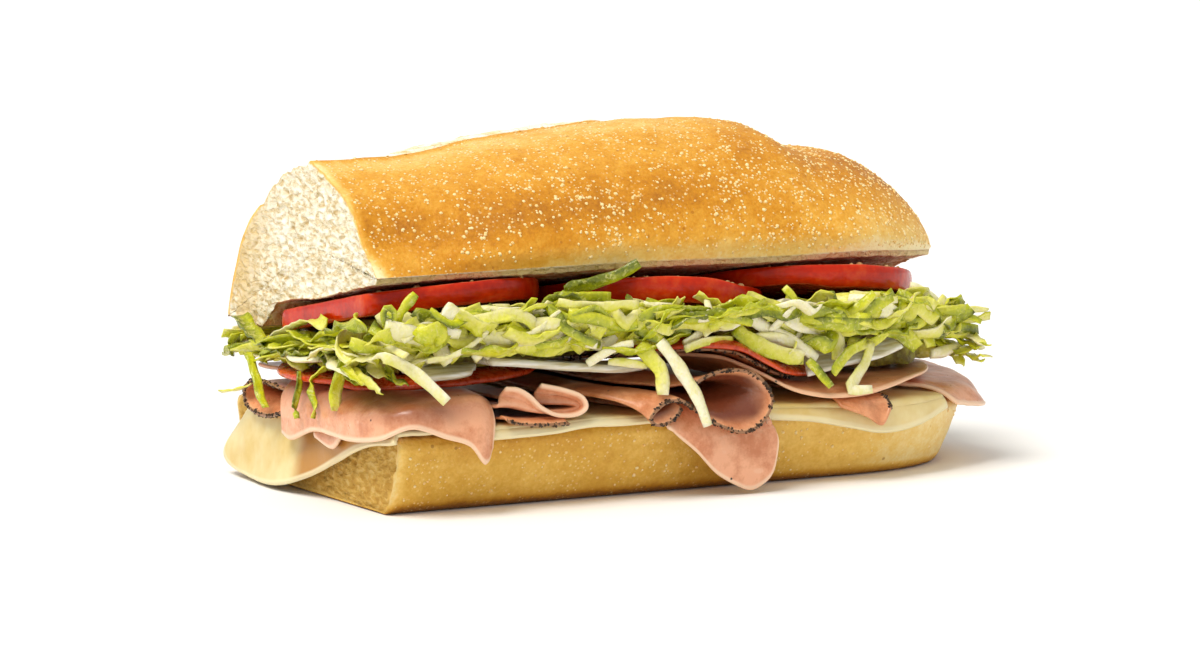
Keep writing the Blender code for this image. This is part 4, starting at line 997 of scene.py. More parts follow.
HAM_LEFT_RIBS = (
    ((-77, 38, 24.9), (-78, 20, 25.6), (-82.8, 7.6, 26.0), (-86.9, 5.4, 22.0), (-87.0, 5.0, 13.8)),
    ((-75, 38, 24.9), (-77, 18, 25.7), (-83.0, 3.0, 26.0), (-87.0, 0.5, 22.0), (-87.2, 0.0, 13.1)),
    ((-72, 38, 24.9), (-75, 5, 25.8), (-82.0, -12.0, 25.9), (-86.8, -12.0, 22.5), (-87.2, -12.0, 16.6)),
    ((-69, 38, 24.9), (-72, -5, 25.8), (-80.0, -27.0, 26.0), (-86.2, -28.0, 22.5), (-86.9, -28.0, 16.4)),
    ((-66, 38, 24.9), (-69, -8, 25.8), (-77.0, -34.0, 26.1), (-84.6, -39.5, 23.5), (-85.6, -40.5, 18.0)),
    ((-64, 38, 24.9), (-67, -8, 25.8), (-74.0, -36.0, 26.2), (-79.5, -44.5, 25.2), (-80.5, -46.6, 21.0)),
    ((-62, 38, 24.9), (-64, -8, 25.8), (-70.0, -37.0, 26.4), (-72.0, -44.8, 25.0), (-72.5, -47.0, 18.4)),
    ((-60, 38, 24.9), (-61, -8, 25.8), (-65.5, -37.0, 26.5), (-66.5, -44.8, 25.0), (-66.5, -47.5, 16.3)),
    ((-58, 38, 24.9), (-59, -8, 25.6), (-61.5, -37.0, 26.3), (-61.8, -44.6, 24.0), (-62.8, -47.8, 12.0)),
    ((-56.5, 38, 24.9), (-57, -8, 25.6), (-58.6, -36.0, 25.6), (-58.2, -42.8, 21.8), (-59.8, -45.6, 15.0)),
)


def ham_left_painted_shade(grid, reach):
    """Painted shade: darker where the slice comes out from under the salami, less so in the fold at its end.
    """
    return 2 * (0.72 * ease((grid[..., 2] - 19.5) / 5.5) * mix(1.0, 0.5, ease((grid[..., 0] + 72.0) / 9.0)),)


def make_ham_left(pink, peppered):
    slab("ham_slice_left", through_ribs(HAM_LEFT_RIBS, 60, 130), HAM_THICKNESS, pink, ("ham_left",),
         ("end", "last"), ripple=0.22, deep=ham_left_painted_shade)
    corner = [
        [(-66, -5, 22.6), (-76, -7, 21.8), (-82.4, -8, 20.6), (-85.7, -9.0, 16.4), (-85.9, -9.5, 14.6)],
        [(-66, -14, 22.6), (-76, -15, 21.8), (-82.4, -16, 20.6), (-85.6, -17.0, 15.9), (-85.8, -17.5, 13.2)],
        [(-66, -24, 22.6), (-76, -24, 21.8), (-82.4, -24, 20.6), (-85.4, -23.0, 18.2), (-85.7, -22.5, 17.0)],
    ]
    slab("ham_slice_corner", through_ribs(corner, 50, 40), HAM_THICKNESS, pink, ("ham_left_corner",),
         ("end", "first", "last"))
    mouth = ((-0.5, 23.2), (8.0, 23.8), (17.0, 24.2), (23.5, 23.6), (27.0, 20.6), (25.0, 17.4),
             (18.0, 16.2), (9.5, 17.2), (2.5, 20.4))
    rows = []
    for y, z in smooth_path(mouth, 150):
        inside = 20.9 + (z - 17.6) * 0.36
        front_x = mix(-84.9, -86.4, ease((y - 3.0) / 5.0))
        run = [(front_x, y, z), (-84.0, y, mix(z, inside, 0.55)), (-81.4, y, mix(z, inside, 0.95)),
               (-75.0, y, inside), (-66.5, mix(y, 14.0, 0.1), inside)]
        rows.append(smooth_path(run, 34))

    # Painted shade: darker inside the roll, away from its open edge
    def roll_painted_shade(grid, reach):
        return 2 * (0.6 * ease((reach["first"] - 3.0) / 8.0),)

    slab("ham_roll_left_end", np.array(rows), HAM_THICKNESS * 0.8, peppered, ("ham_roll_left",),
         ("first",), peppered=("first",), spacing=0.24, deep=roll_painted_shade)


def make_ham_folds(pink, peppered):
    pleat = ((-54.8, -43.0, 27.9), (-52.2, -43.8, 27.6), (-49.6, -44.5, 26.0), (-46.6, -45.0, 23.0),
             (-42.5, -45.0, 21.0), (-37.6, -45.0, 20.9), (-35.2, -45.0, 22.4), (-36.2, -44.5, 24.9),
             (-40.0, -43.5, 26.6), (-45.5, -42.5, 28.0))
    lifts = ((-56.4, 1.4), (-52.0, 0.4), (-46.0, 0.0), (-41.0, 0.0))
    under = [[(x, 39.0, 20.4), (x, -10.0, 20.4), (x, -39.0, 20.4 + 0.3 * rise), (x, -43.6, 20.1 + rise),
              (x + 1.0, -45.4, 19.0 + rise)] for x, rise in lifts]

    # Painted shade: darker away from the peppered edge, under the slices above
    def inner_painted_shade(grid, reach):
        return 2 * (ease((reach["end"] - 2.0) / 6.0),)

    def pleat_painted_shade(grid, reach):
        """Painted shade: dark between the two layers of the fold, and hardly so outside it."""
        return 0.9 * ease((reach["first"] - 1.5) / 6.0), 0.15 * ease(reach["first"] / 8.0)

    slab("ham_slice_inner", through_ribs(under, 60, 50), HAM_THICKNESS * 0.65, peppered,
         ("ham_inner",), ("end",), peppered=("end",), spacing=0.26, deep=inner_painted_shade)
    slab("ham_fold_pleat", fold_grid(pleat, 39.0, 5.5, (21.9, 0.24), 150, 46), HAM_THICKNESS, pink,
         ("ham_pleat",), ("first",), deep=pleat_painted_shade)

    def scroll_painted_shade(grid, reach):
        """Painted shade: the two mouths are dark inside; the big mouth's lower lip and right wall catch the
        light and stay pale.
        """
        turn = int(np.argmin(np.linalg.norm(grid[:, 0, ::2] - (-9.7, 20.8), axis=1)))
        past = (np.arange(len(grid)) > turn)[:, None]
        high = ease((grid[..., 2] - 15.2) / 3.4) * mix(1.0, 0.5, ease((grid[..., 0] - 5.5) / 6.0))
        return (np.where(past, high * ease((reach["first"] - 0.6) / 2.4), 0.0),
                np.where(past, 0.0, ease((reach["first"] - 0.5) / 3.0)))

    scroll = ((-12.2, -47.4, 21.0), (-13.2, -48.1, 19.4), (-16.6, -48.8, 17.7), (-19.4, -49.0, 17.6),
              (-20.8, -49.0, 19.4), (-17.4, -48.8, 22.2), (-13.0, -48.8, 22.7), (-9.7, -49.0, 20.8),
              (-4.9, -49.3, 17.3), (1.7, -49.6, 14.6), (6.3, -49.4, 15.2), (9.6, -49.0, 17.8),
              (11.4, -48.2, 22.0), (8.6, -47.4, 26.6), (4.5, -46.8, 28.4), (-0.4, -46.4, 28.6),
              (-4.6, -46.2, 27.4), (-7.6, -46.0, 25.8))
    slab("ham_fold_scroll", fold_grid(scroll, 39.0, 15.0, (23.0, 0.22), 260, 48), HAM_THICKNESS * 0.9,
         peppered, ("ham_scroll",), ("first",), peppered=("first",), spacing=0.20, deep=scroll_painted_shade)
    tongue_edge = ((-15.2, 16.6), (-12.4, 14.2), (-8.0, 10.6), (-2.8, 5.4), (2.8, 2.1), (6.6, 0.9),
                   (10.6, 2.6), (12.6, 5.4), (13.6, 10.6), (13.0, 13.6), (11.2, 16.0))
    edge = smooth_path(tongue_edge, 90)
    ribs = []
    for k, (x, z) in enumerate(edge):
        root = mix(-16.5, 8.5, k / (len(edge) - 1))
        ribs.append([(root - 12.0, 39.0, 20.4), (root - 10.0, 0.0, 20.4), (root - 2.0, -37.5, 20.4),
                     (mix(root, x, 0.45), -43.6, 20.35), (mix(root, x, 0.7), -46.9, mix(17.4, z, 0.3)),
                     (x, -47.0, z)])
    grid = np.array([smooth_path(rib, 70, even=False) for rib in ribs]).transpose(1, 0, 2)
    slab("ham_tongue_slice", grid, HAM_THICKNESS, pink, ("ham_tongue",), ("end",), ripple=0.2)


ARCH = ((-30, 29.6), (-12, 31.2), (-3, 31.4), (4.5, 30.4), (9, 28.4), (13, 26.4), (18, 24.2), (24, 23.0),
        (32, 22.6), (45, 22.6), (60, 22.6), (80, 22.6))
ARCH_SHARE = ((-60, 1.0), (-42, 1.0), (-24, 0.86), (0, 0.62), (42, 0.56))


def arch(x, y):
    """Height of the slices that lie over the scroll and come down on its right."""
    return 20.0 + (read_line(ARCH, x) - 20.0) * read_line(ARCH_SHARE, y)


def make_upper_slices(tan, peppered, salami):
    def ham_right_top(x, y):
        out = np.maximum(-y - 37.0, 0.0)
        return arch(x, y) + 0.55 - 0.03 * out ** 2 * ease((x - 6.0) / 14.0)

    round_slice("ham_slice_right", (32.5, -5.0), wobbly(41.0, 0.012, 0.4), ham_right_top,
                HAM_THICKNESS, tan, ("ham_right",), 0.9, segments=240)
    round_slice("ham_slice_thin", (5.0, -16.0), wobbly(27.0, 0.02, 1.1), lambda x, y: arch(x, y) + 2.0,
                HAM_THICKNESS * 0.8, peppered, ("ham_thin",), 0.9, peppered=True)

    def salami_right_top(x, y):
        out = np.hypot(x - 8.0, y + 16.5)
        return arch(x, y) + 4.4 - 1.3 * ease((out - 25.4) / 3.6) * ease(-(y + 30.0) / 6.0)

    def salami_left_top(x, y):
        out = np.hypot(x + 57.0, y + 1.0)
        droop = 1.6 * ease((out - 25.5) / 6.0) * ease(-(y + 14.0) / 8.0) * ease(-(x + 30.0) / 12.0)
        return 28.9 + 0.045 * (x + 84.0) - 0.02 * (y + 30.0) - droop

    round_slice("salami_slice_right", (8.0, -16.5), wobbly(28.8, 0.01, 2.0), salami_right_top,
                SALAMI_THICKNESS, salami, ("salami_right",), 0.9)
    round_slice("salami_slice_left", (-57.0, -1.0), wobbly(31.0, 0.01, 0.7), salami_left_top,
                SALAMI_THICKNESS, salami, ("salami_left",), 0.9, ripple=0.15)


def make_ham_right_end(pink, peppered):
    end = [
        [(44, -24, 20.4), (55, -30, 20.0), (63.0, -35.5, 18.6), (67.0, -39.0, 15.6)],
        [(46, -14, 20.4), (62, -21, 20.2), (74.5, -28.5, 18.2), (79.5, -31.0, 13.4)],
        [(50, -5, 20.4), (66, -9, 20.2), (81.5, -15.5, 18.6), (86.0, -17.0, 12.6)],
        [(50, 8, 20.4), (68, 5, 20.2), (83.0, -1.0, 19.2), (87.6, -3.0, 12.4)],
        [(50, 22, 20.4), (66, 20, 20.2), (79.0, 15.0, 19.4), (84.6, 16.0, 14.6)],
    ]
    slab("ham_slice_end", through_ribs(end, 60, 80), HAM_THICKNESS, pink, ("ham_end",),
         ("end", "first"), ripple=0.3)
    corner = [
        [(26, 20, 20.1), (28, -20, 20.1), (30.0, -41.0, 20.3), (31.0, -46.2, 18.2)],
        [(36, 20, 20.1), (36, -20, 20.1), (37.0, -41.8, 20.0), (37.5, -47.2, 15.6)],
        [(42, 20, 20.1), (41, -20, 20.1), (41.5, -41.8, 19.8), (41.5, -47.3, 13.4)],
        [(43, 20, 20.1), (43.4, -20, 20.1), (43.8, -41.6, 19.8), (44.6, -46.2, 17.2)],
    ]
    slab("ham_corner_right", through_ribs(corner, 60, 50), HAM_THICKNESS * 0.9, peppered,
         ("ham_right_corner",), ("last",), peppered=("last",), spacing=0.22)


def make_onion(material):
    middle = [[(-57, y, 33.6 - 0.04 * (y + 40)), (-48, y - 0.6, 32.6 - 0.04 * (y + 40)),
               (-35, y - 0.8, 30.9 - 0.04 * (y + 40)), (-24, y - 0.4, 29.9), (-18, y + 0.5, 29.9)]
              for y in (-40.5, -36.5, -32.0)]
    slab("onion_ring_middle", through_ribs(middle, 90, 24), ONION_THICKNESS, material,
         ("onion_middle",), ("first",))
    left = [[(x, -31.2, 31.9), (x + 0.5, mix(-34.5, -33.2, tip), 31.7),
             (x - 0.5, mix(-38.6, -34.6, tip), mix(30.6, 31.4, tip))]
            for x, tip in ((-75.0, 0.0), (-66.0, 0.0), (-60.5, 0.35), (-58.2, 1.0))]
    slab("onion_ring_left", through_ribs(left, 30, 50), ONION_THICKNESS * 0.8, material,
         ("onion_left",), ("end",))
    right = [[(24.0, -43.2, 25.6), (34.0, -42.5, 27.2), (44.0, -41.5, 28.3), (51.0, -40.0, 30.0)],
             [(26.0, -37.6, 29.8), (35.0, -37.4, 30.6), (43.0, -37.0, 31.2), (50.0, -36.5, 31.6)]]
    slab("onion_ring_right", through_ribs(right, 90, 30), ONION_THICKNESS * 0.8, material,
         ("onion_right",), ("first",))


# Lettuce: an uneven inside painted dark as shade, the shreds that can be told apart, and further ones all
# round

CORE_FRONT_Y = -30.0
CORE_BACK_Y = 35.5
CORE_X = (-77.0, 73.0)
ROOF_DROP = ((-90, 11.1), (-60, 9.9), (-28, 9.3), (-20, 9.8), (0, 12.2), (14, 13.4), (34, 14.2), (42, 11.4),
             (80, 13.0))
BACK_ROOF = 34.2
HEAP_TOP = ((-90, 45.5), (-76, 46.0), (-51, 46.4), (-30, 46.0), (-7, 43.5), (14, 44.5), (36, 42.0),
            (57, 41.0), (70, 37.0))
HEAP_FOOT = ((-90, 33.0), (-61, 34.5), (-51, 34.7), (-20, 34.2), (-12, 36.6), (-2, 37.8), (6, 36.6),
             (14, 33.6), (24, 31.0),
             (33, 30.6), (49, 31.8), (70, 29.6))


def salad_floor(x, y):
    left = 29.5 + 0.045 * (x + 84.0) - 0.02 * (y + 30.0)
    above = mix(mix(5.9, 1.6, ease((x - 38.5) / 6.0)), 1.5, ease((y - 12.5) / 5.0))
    return mix(left, arch(x, y) + above, ease((x + 30.0) / 8.0))


def salad_roof(x, y):
    level_back = 1.7 * ease((y + 8.0) / 28.0) * ease((x + 34.0) / 8.0)
    return np.where(y > 25.5, BACK_ROOF, crumb_height(y) - read_line(ROOF_DROP, x) + level_back)


def make_lettuce_inside(material):
    rings = []
    for x in np.linspace(*CORE_X, 120):
        tip = 1.0 - 0.45 * ease((abs(x + 2.0) - 60.0) / 15.0)
        y_top = np.linspace(CORE_FRONT_Y, CORE_BACK_Y, 50)
        y_low = np.linspace(CORE_BACK_Y + 0.3, CORE_FRONT_Y - 0.4, 44)
        floor_top, floor_low = salad_floor(x, y_top), salad_floor(x, y_low)
        top = np.maximum(salad_roof(x, y_top), floor_top + 0.8) - 0.2
        side = np.linspace(0.12, 0.88, 10)
        front = np.column_stack([np.full(10, CORE_FRONT_Y), mix(floor_low[-1], top[0], side)])
        back = np.column_stack([np.full(10, CORE_BACK_Y), mix(top[-1], floor_low[0], side)])
        ring = np.vstack([front, np.column_stack([y_top, top]), back,
                          np.column_stack([y_low, floor_low + 0.1])])
        ring[:, 0] *= tip
        rings.append(np.column_stack([np.full(len(ring), x), ring]))
    points = np.array(rings)
    middle = points.mean(axis=1, keepdims=True)
    inward = unit(middle - points)
    sunk = 0.9 + 1.1 * field(points, 4.0, 2.0) + 0.5 * field(points, 1.8, 5.0)
    points = points + inward * sunk[..., None]
    count = points.shape[1]
    faces = grid_faces(len(points), count, closed=True)
    faces += [tuple(range(count)), tuple(range((len(points) - 1) * count, len(points) * count))]
    make_piece("lettuce_inside_painted_shade", points.reshape(-1, 3), faces, material, ("lettuce",))


# Shreds that can be told apart in the picture, 1200 by 660 pixels: the axis and the places along it, in
# millimetres, where the shred starts and ends, its width, its tone at both ends (0 white, 1 green), its
# lean, and the picture places that it passes
PICTURE_MIDDLE = (600.0, 330.0)
PICTURE_FOCUS = 6420.0
CUT_PLANE_X = -85.5             # a front shred that would pass this place turns along the cut end
CHOSEN_SHREDS = (
    ("X", -84, -86, 4.2, 0.9, 0.8, 0.5, ((239, 316), (252, 333), (264, 344), (284, 354), (304, 355))),
    ("Y", -40, -44, 3.6, 0.75, 0.5, 1.5, ((322, 348), (344, 345), (366, 344), (382, 338), (395, 334),
         (422, 331), (462, 326))),
    ("Y", -42, -41, 4.6, 0.75, 0.7, 1.5, ((333, 333), (348, 323), (366, 325))),
    ("Y", -42, -43, 1.4, 0.85, 0.8, 1.3, ((386, 330), (382, 313), (388.6, 307.5), (394, 313), (392, 331))),
    ("Y", -42, -43, 2.6, 0.6, 0.75, 1.4, ((398, 322), (406, 306), (416, 294))),
    ("Y", -44, -44, 4, 0, 0, 1.5, ((444, 309), (453, 316), (462, 323))),
    ("X", -80, -83, 4.4, 0.2, 0.5, 1.2, ((268, 345), (284, 333), (299, 326), (313, 321), (326, 325))),
    ("X", -88, -89, 2.1, 0.6, 0.7, 0.3, ((248, 353), (255, 373), (261, 396), (266, 407))),
    ("X", -90, -86, 1.4, 0.3, 0.3, 0.6, ((220, 391), (237, 390), (252, 382))),
    ("X", -88.5, -89.5, 1.6, 0.8, 0.8, 0.4, ((299, 371), (298, 389), (295, 407), (297, 418))),
    ("X", -86, -89.5, 1.7, 0.75, 0.75, 0.4, ((326, 367), (313, 378), (310, 389), (315, 405), (312, 418))),
    ("Y", -42, -48, 3, 0.75, 0.35, 1.6, ((346, 355), (342, 371), (336, 389), (335, 411))),
    ("Y", -40, -48.5, 2.9, 0.4, 0.1, 1.5, ((346, 367), (362, 358), (384, 358), (400, 364), (415, 373),
         (433, 389), (447, 402))),
    ("Y", -42, -47.5, 2.1, 0.6, 0.4, 1.4, ((351, 369), (364, 380), (380, 393))),
    ("Y", -38, -42, 3, 0.4, 0.6, 1.4, ((411, 367), (424, 353), (435, 342))),
    ("Y", -38, -40, 1.6, 0.7, 0.7, 1.4, ((467, 313), (478, 317), (480, 329), (493, 331))),
    ("Y", -38, -43, 2.5, 0.8, 0.35, 1.5, ((487, 306), (498, 320), (509, 335), (527, 338), (545, 326),
         (558, 309))),
    ("Y", -40, -42, 3, 0.1, 0.15, 1.5, ((467, 347), (489, 345), (511, 344))),
    ("Y", -33, -38, 3.2, 0.85, 1, 1.4, ((564, 291), (585, 286), (608, 279), (627, 271), (639, 263))),
    ("Y", -36, -40, 2.7, 0.75, 0.35, 1.4, ((553, 298), (574, 298), (597, 302), (616, 305), (641, 307),
         (666, 309), (679, 298))),
    ("Y", -42, -41, 2.6, 0.4, 0.75, 1.5, ((532, 334), (547, 321), (562, 311), (585, 312), (599, 315))),
    ("Y", -41, -45, 3, 0.2, 0, 1.5, ((540, 330), (564, 336), (582, 341), (597, 344))),
    ("Y", -42, -40, 3.4, 0.1, 0.1, 1.5, ((589, 328), (603, 323), (616, 311), (629, 308))),
    ("Y", -42, -43, 2.4, 0.8, 0.8, 1.5, ((562, 317), (578, 328), (592, 339))),
    ("Y", -44, -46, 2, 0.05, 0, 1.5, ((587, 364), (604, 353), (620, 346), (633, 343))),
    ("Y", -42, -46, 2.8, 0.85, 0.75, 1.4, ((612, 322), (631, 326), (647, 334), (662, 340))),
    ("Y", -45, -49.5, 4, 0.6, 0.15, 1.7, ((639, 344), (651, 357), (662, 372), (664, 395))),
    ("Y", -46, -51, 3.2, 0.1, 0, 1.7, ((660, 341), (675, 361), (687, 380), (698, 399), (708, 426))),
    ("Y", -43, -41, 2.2, 0.1, 0.1, 1.3, ((683, 343), (704, 331), (725, 326))),
    ("Y", -44, -46, 1.8, 0.3, 0.3, 1.4, ((608, 362), (627, 363), (647, 366))),
    ("Y", -42, -44, 2.9, 0, 0, 1.5, ((727, 305), (749, 317), (772, 332), (794, 342), (817, 358))),
    ("Y", -41, -42, 2, 0.7, 0.7, 1.5, ((706, 307), (717, 317), (729, 326))),
    ("Y", -42, -45, 4, 0.7, 0.3, 1.4, ((735, 328.6), (748, 339.3), (767, 349), (788, 355), (804, 357))),
    ("Y", -38, -40, 2.2, 0.3, 0.2, 1.2, ((757, 303), (776, 305), (788, 309))),
    ("Y", -38, -41, 1.8, 0.6, 0.6, 1.5, ((784, 287), (794, 299), (796, 314))),
    ("Y", -40, -41, 3.6, 0.35, 0.3, 1.5, ((792, 309), (812, 317), (826, 326))),
    ("Y", -38, -40, 2, 0.85, 0.9, 1.4, ((831, 291), (833, 303), (843, 309), (852, 302))),
    ("Y", -37, -39, 4, 0.2, 0.1, 1.4, ((849, 299), (870, 301), (892, 306))),
    ("Y", -43, -46.5, 2.6, 0.5, 0.7, 1.5, ((866, 342), (851, 350), (841, 360), (832, 374))),
    ("Y", -42, -47, 2.6, 0.3, 0.05, 1.5, ((871, 342), (864, 364), (856, 376), (850, 389), (872, 389))),
    ("Y", -38, -40, 4.2, 0.65, 0.65, 1.4, ((868, 322), (886, 326), (902, 333), (918, 348))),
    ("Y", -34, -38, 3.4, 0.4, 0.6, 1.5, ((896, 295), (911, 307), (925, 323), (931, 347))),
    ("Y", -30, -31, 3.4, 0.15, 0.1, 1.4, ((909, 288), (921, 293), (934, 302), (944, 318))),
    ("Y", -26, -24, 1.9, 0.3, 0.25, 1.2, ((938, 319), (957, 330), (974, 332))),
    ("Y", -30, -28, 3, 0.1, 0.1, 1.2, ((931, 354), (946, 352), (958, 347))),
    ("Y", -42, -43, 4, 0.4, 0.3, 1.6, ((822, 324), (836, 338), (837, 360))),
    ("Y", -45, -47.5, 2, 0.75, 0.8, 1.4, ((808, 360), (821, 374), (831, 387))),
    ("Y", -44, -42, 2, 0.3, 0.5, 1.4, ((684, 349), (706, 341), (733, 339))),
)


def camera_axes(azimuth, elevation):
    a, e = math.radians(azimuth), math.radians(elevation)
    back = np.array([math.sin(a) * math.cos(e), -math.cos(a) * math.cos(e), math.sin(e)])
    right = np.array([math.cos(a), math.sin(a), 0.0])
    return right, np.cross(back, right), back


def from_picture(spot, axis, level):
    """Where the ray through a picture place meets X (axis 0) or Y (axis 1) = level."""
    right, up, back = camera_axes(CAMERA_AZIMUTH, CAMERA_ELEVATION)
    eye = (np.array(CAMERA_TARGET) + CAMERA_DISTANCE * back) / MM
    across, down = (spot[k] - PICTURE_MIDDLE[k] for k in (0, 1))
    ray = across / PICTURE_FOCUS * right - down / PICTURE_FOCUS * up - back
    return eye + (level - eye[axis]) / ray[axis] * ray


def chosen_path(axis, start, end, spots):
    """A chosen shred's path, to a tenth of a millimetre."""
    path = []
    for share, spot in zip(np.linspace(0.0, 1.0, len(spots)), spots):
        place = from_picture(spot, "XY".index(axis), mix(start, end, share))
        if axis == "Y" and place[0] < CUT_PLANE_X:
            place = from_picture(spot, 0, CUT_PLANE_X - 2.0 * share)
        path.append(np.round(place, 1))
    return path


def shred_mesh(path, width, tones, lean, rng, frill=1.0):
    """One strip of leaf: its points, faces and the tone at each point."""
    path = np.array(path, float)
    length = np.linalg.norm(np.diff(path, axis=0), axis=1).sum()
    count = max(8, int(length / 1.15))
    centre = smooth_path(path, count)
    share = np.linspace(0.0, 1.0, count)
    ahead = unit(np.gradient(centre, axis=0))
    turn = lean + rng.uniform(-0.35, 0.35) * (share - 0.5) * 2.0
    flat = unit(np.cross(ahead, np.column_stack([np.zeros(count), np.sin(turn), np.cos(turn)])))
    normal = unit(np.cross(flat, ahead))
    rib = max(0.0, 1.0 - 4.0 * min(tones))
    across = np.linspace(-1.0, 1.0, 5)
    phase = rng.uniform(0.0, 60.0)
    uneven = field(np.column_stack([share * length, np.zeros(count), np.zeros(count)]), 5.0, phase)
    half = 0.5 * width * (1.0 + 0.28 * uneven) * (1.0 - 0.30 * share ** 6)
    half = half * (0.86 + 0.14 * ease(share / 0.05))
    curl = rng.uniform(-0.35, 0.35) * (1.0 - 0.5 * rib)
    wave = (1.0 - 0.75 * rib) * frill * 0.20 * width
    edge_side = rng.choice((-1.0, 1.0))
    middle = centre[:, None] + flat[:, None] * (half[:, None] * across)[..., None]
    one_edge = np.clip(across * edge_side, 0.0, 1.0) ** 1.5
    ripple = wave * np.sin(share[:, None] * length / rng.uniform(0.7, 1.3) + phase) * one_edge
    slow = (1.0 - 0.6 * rib) * (0.55 * field(middle, 3.5, phase) + 0.22 * field(middle, 1.3, phase + 3.0))
    middle = middle + normal[:, None] * (curl * half[:, None] * across ** 2 + ripple + slow)[..., None]
    thick = LEAF_THICKNESS * 0.5 * (1.0 + rib * 2.0 * (1.0 - across ** 2))
    up, down = middle + normal[:, None] * thick[:, None], middle - normal[:, None] * thick[:, None]
    rows, columns = count, len(across)
    faces = grid_faces(rows, columns) + grid_faces(rows, columns, rows * columns)
    turn_places = rim_turn(rows, columns)
    rim = turn_places[:, 0] * columns + turn_places[:, 1]
    for a, b in zip(rim, np.roll(rim, -1)):
        faces.append((a, b, rows * columns + b, rows * columns + a))
    tone = mix(tones[0], tones[1], share)[:, None] + (0.16 * across * edge_side)[None] * (1.0 - 0.5 * rib)
    tone = np.clip(tone, 0.0, 1.0).ravel()
    points = np.vstack([up.reshape(-1, 3), down.reshape(-1, 3)])
    return points, faces, np.concatenate([tone, tone])


def probe_tree(path, width, lean):
    """Search tree of a coarse ribbon, to test a shred before it is made."""
    centre = smooth_path(path, 8)
    ahead = unit(np.gradient(centre, axis=0))
    flat = unit(np.cross(ahead, np.tile((0.0, math.sin(lean), math.cos(lean)), (8, 1))))
    points = np.vstack([centre + flat * width / 2, centre - flat * width / 2])
    faces = [(k, k + 1, 9 + k, 8 + k) for k in range(7)]
    return BVHTree.FromPolygons(points.tolist(), faces)


def solid_trees():
    """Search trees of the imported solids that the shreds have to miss."""
    trees = []
    for name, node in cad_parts.items():
        if name == "lettuce":
            continue
        points = [vert.co / MM for vert in node.data.vertices]
        trees.append(BVHTree.FromPolygons(points, [tuple(face.vertices) for face in node.data.polygons]))
    return trees


def front_path(rng):
    """A shred in the open front: it lies between the slices below and the tomato above."""
    x, depth = rng.uniform(-80.0, 70.0), rng.random() ** 0.7
    edge = mix(-46.0, -33.0, ease((x - 40.0) / 34.0))
    y = mix(CORE_FRONT_Y - 1.0, edge, depth)
    foot = mix(float(salad_floor(x, CORE_FRONT_Y)) + 1.0, float(read_line(HEAP_FOOT, x)) + 1.2, depth)
    top = mix(float(salad_roof(x, CORE_FRONT_Y)) + 1.0, float(read_line(HEAP_TOP, x)) - 1.5, depth)
    z = mix(foot, max(top, foot + 2.0), rng.random())
    steep = rng.gauss(0.0, 0.42) if rng.random() < 0.8 else rng.uniform(-1.3, 1.3)
    length = rng.triangular(7.0, 30.0, 15.0)
    step = np.array([math.cos(steep), rng.uniform(-0.12, 0.12), math.sin(steep)]) * length / 3.0
    start = np.array([x, y, z]) - 1.5 * step
    path = []
    for k in range(4):
        jitter = np.array([rng.gauss(0, 0.8), rng.gauss(0, 0.9), rng.gauss(0, 1.1)])
        path.append(start + step * k + jitter)
    path[0][1] += rng.uniform(0.0, 3.0)
    path[-1][1] += rng.uniform(0.0, 3.0)
    return path, float(read_line(HEAP_FOOT, x)) - 0.5, float(read_line(HEAP_TOP, x)) + 1.5


def side_path(rng, side):
    """A shred at the back, the cut end or the rounded end."""
    span, out, run, face, reach = side
    base, far = rng.uniform(*span), rng.uniform(*reach)
    x, y = (base, face) if out[0] == 0.0 else (face, base)
    foot = float(salad_floor(x, y)) + 1.0
    level = mix(foot, max(float(salad_roof(x, y)) - 1.0, foot + 1.0), rng.random())
    length = rng.uniform(8.0, 24.0) * rng.choice((-1.0, 1.0))
    droop = rng.uniform(-1.0, 4.5) if out[1] == 0.0 else rng.uniform(-1.0, 1.5)
    steps = ((-4.0, 0.0, 0.0), (far * 0.55, 0.18, 0.5), (far, 0.55, -0.2 * droop),
             (far * rng.uniform(0.7, 1.05), 1.0, -droop))
    path = []
    for away, share, rise in steps:
        place_x = x + out[0] * away + run[0] * length * share
        place_y = y + out[1] * away + run[1] * length * share
        path.append(np.array([place_x, place_y, level + rise]))
    return path, 10.0, 60.0


SIDES = (
    ((-70, 66), (0.0, 1.0), (1.0, 0.0), CORE_BACK_Y, (1.5, 8.0)),
    ((-28, 30), (-1.0, 0.0), (0.0, 1.0), CORE_X[0], (2.0, 10.5)),
    ((-18, 24), (1.0, 0.0), (0.0, 1.0), CORE_X[1], (1.0, 7.5)),
)


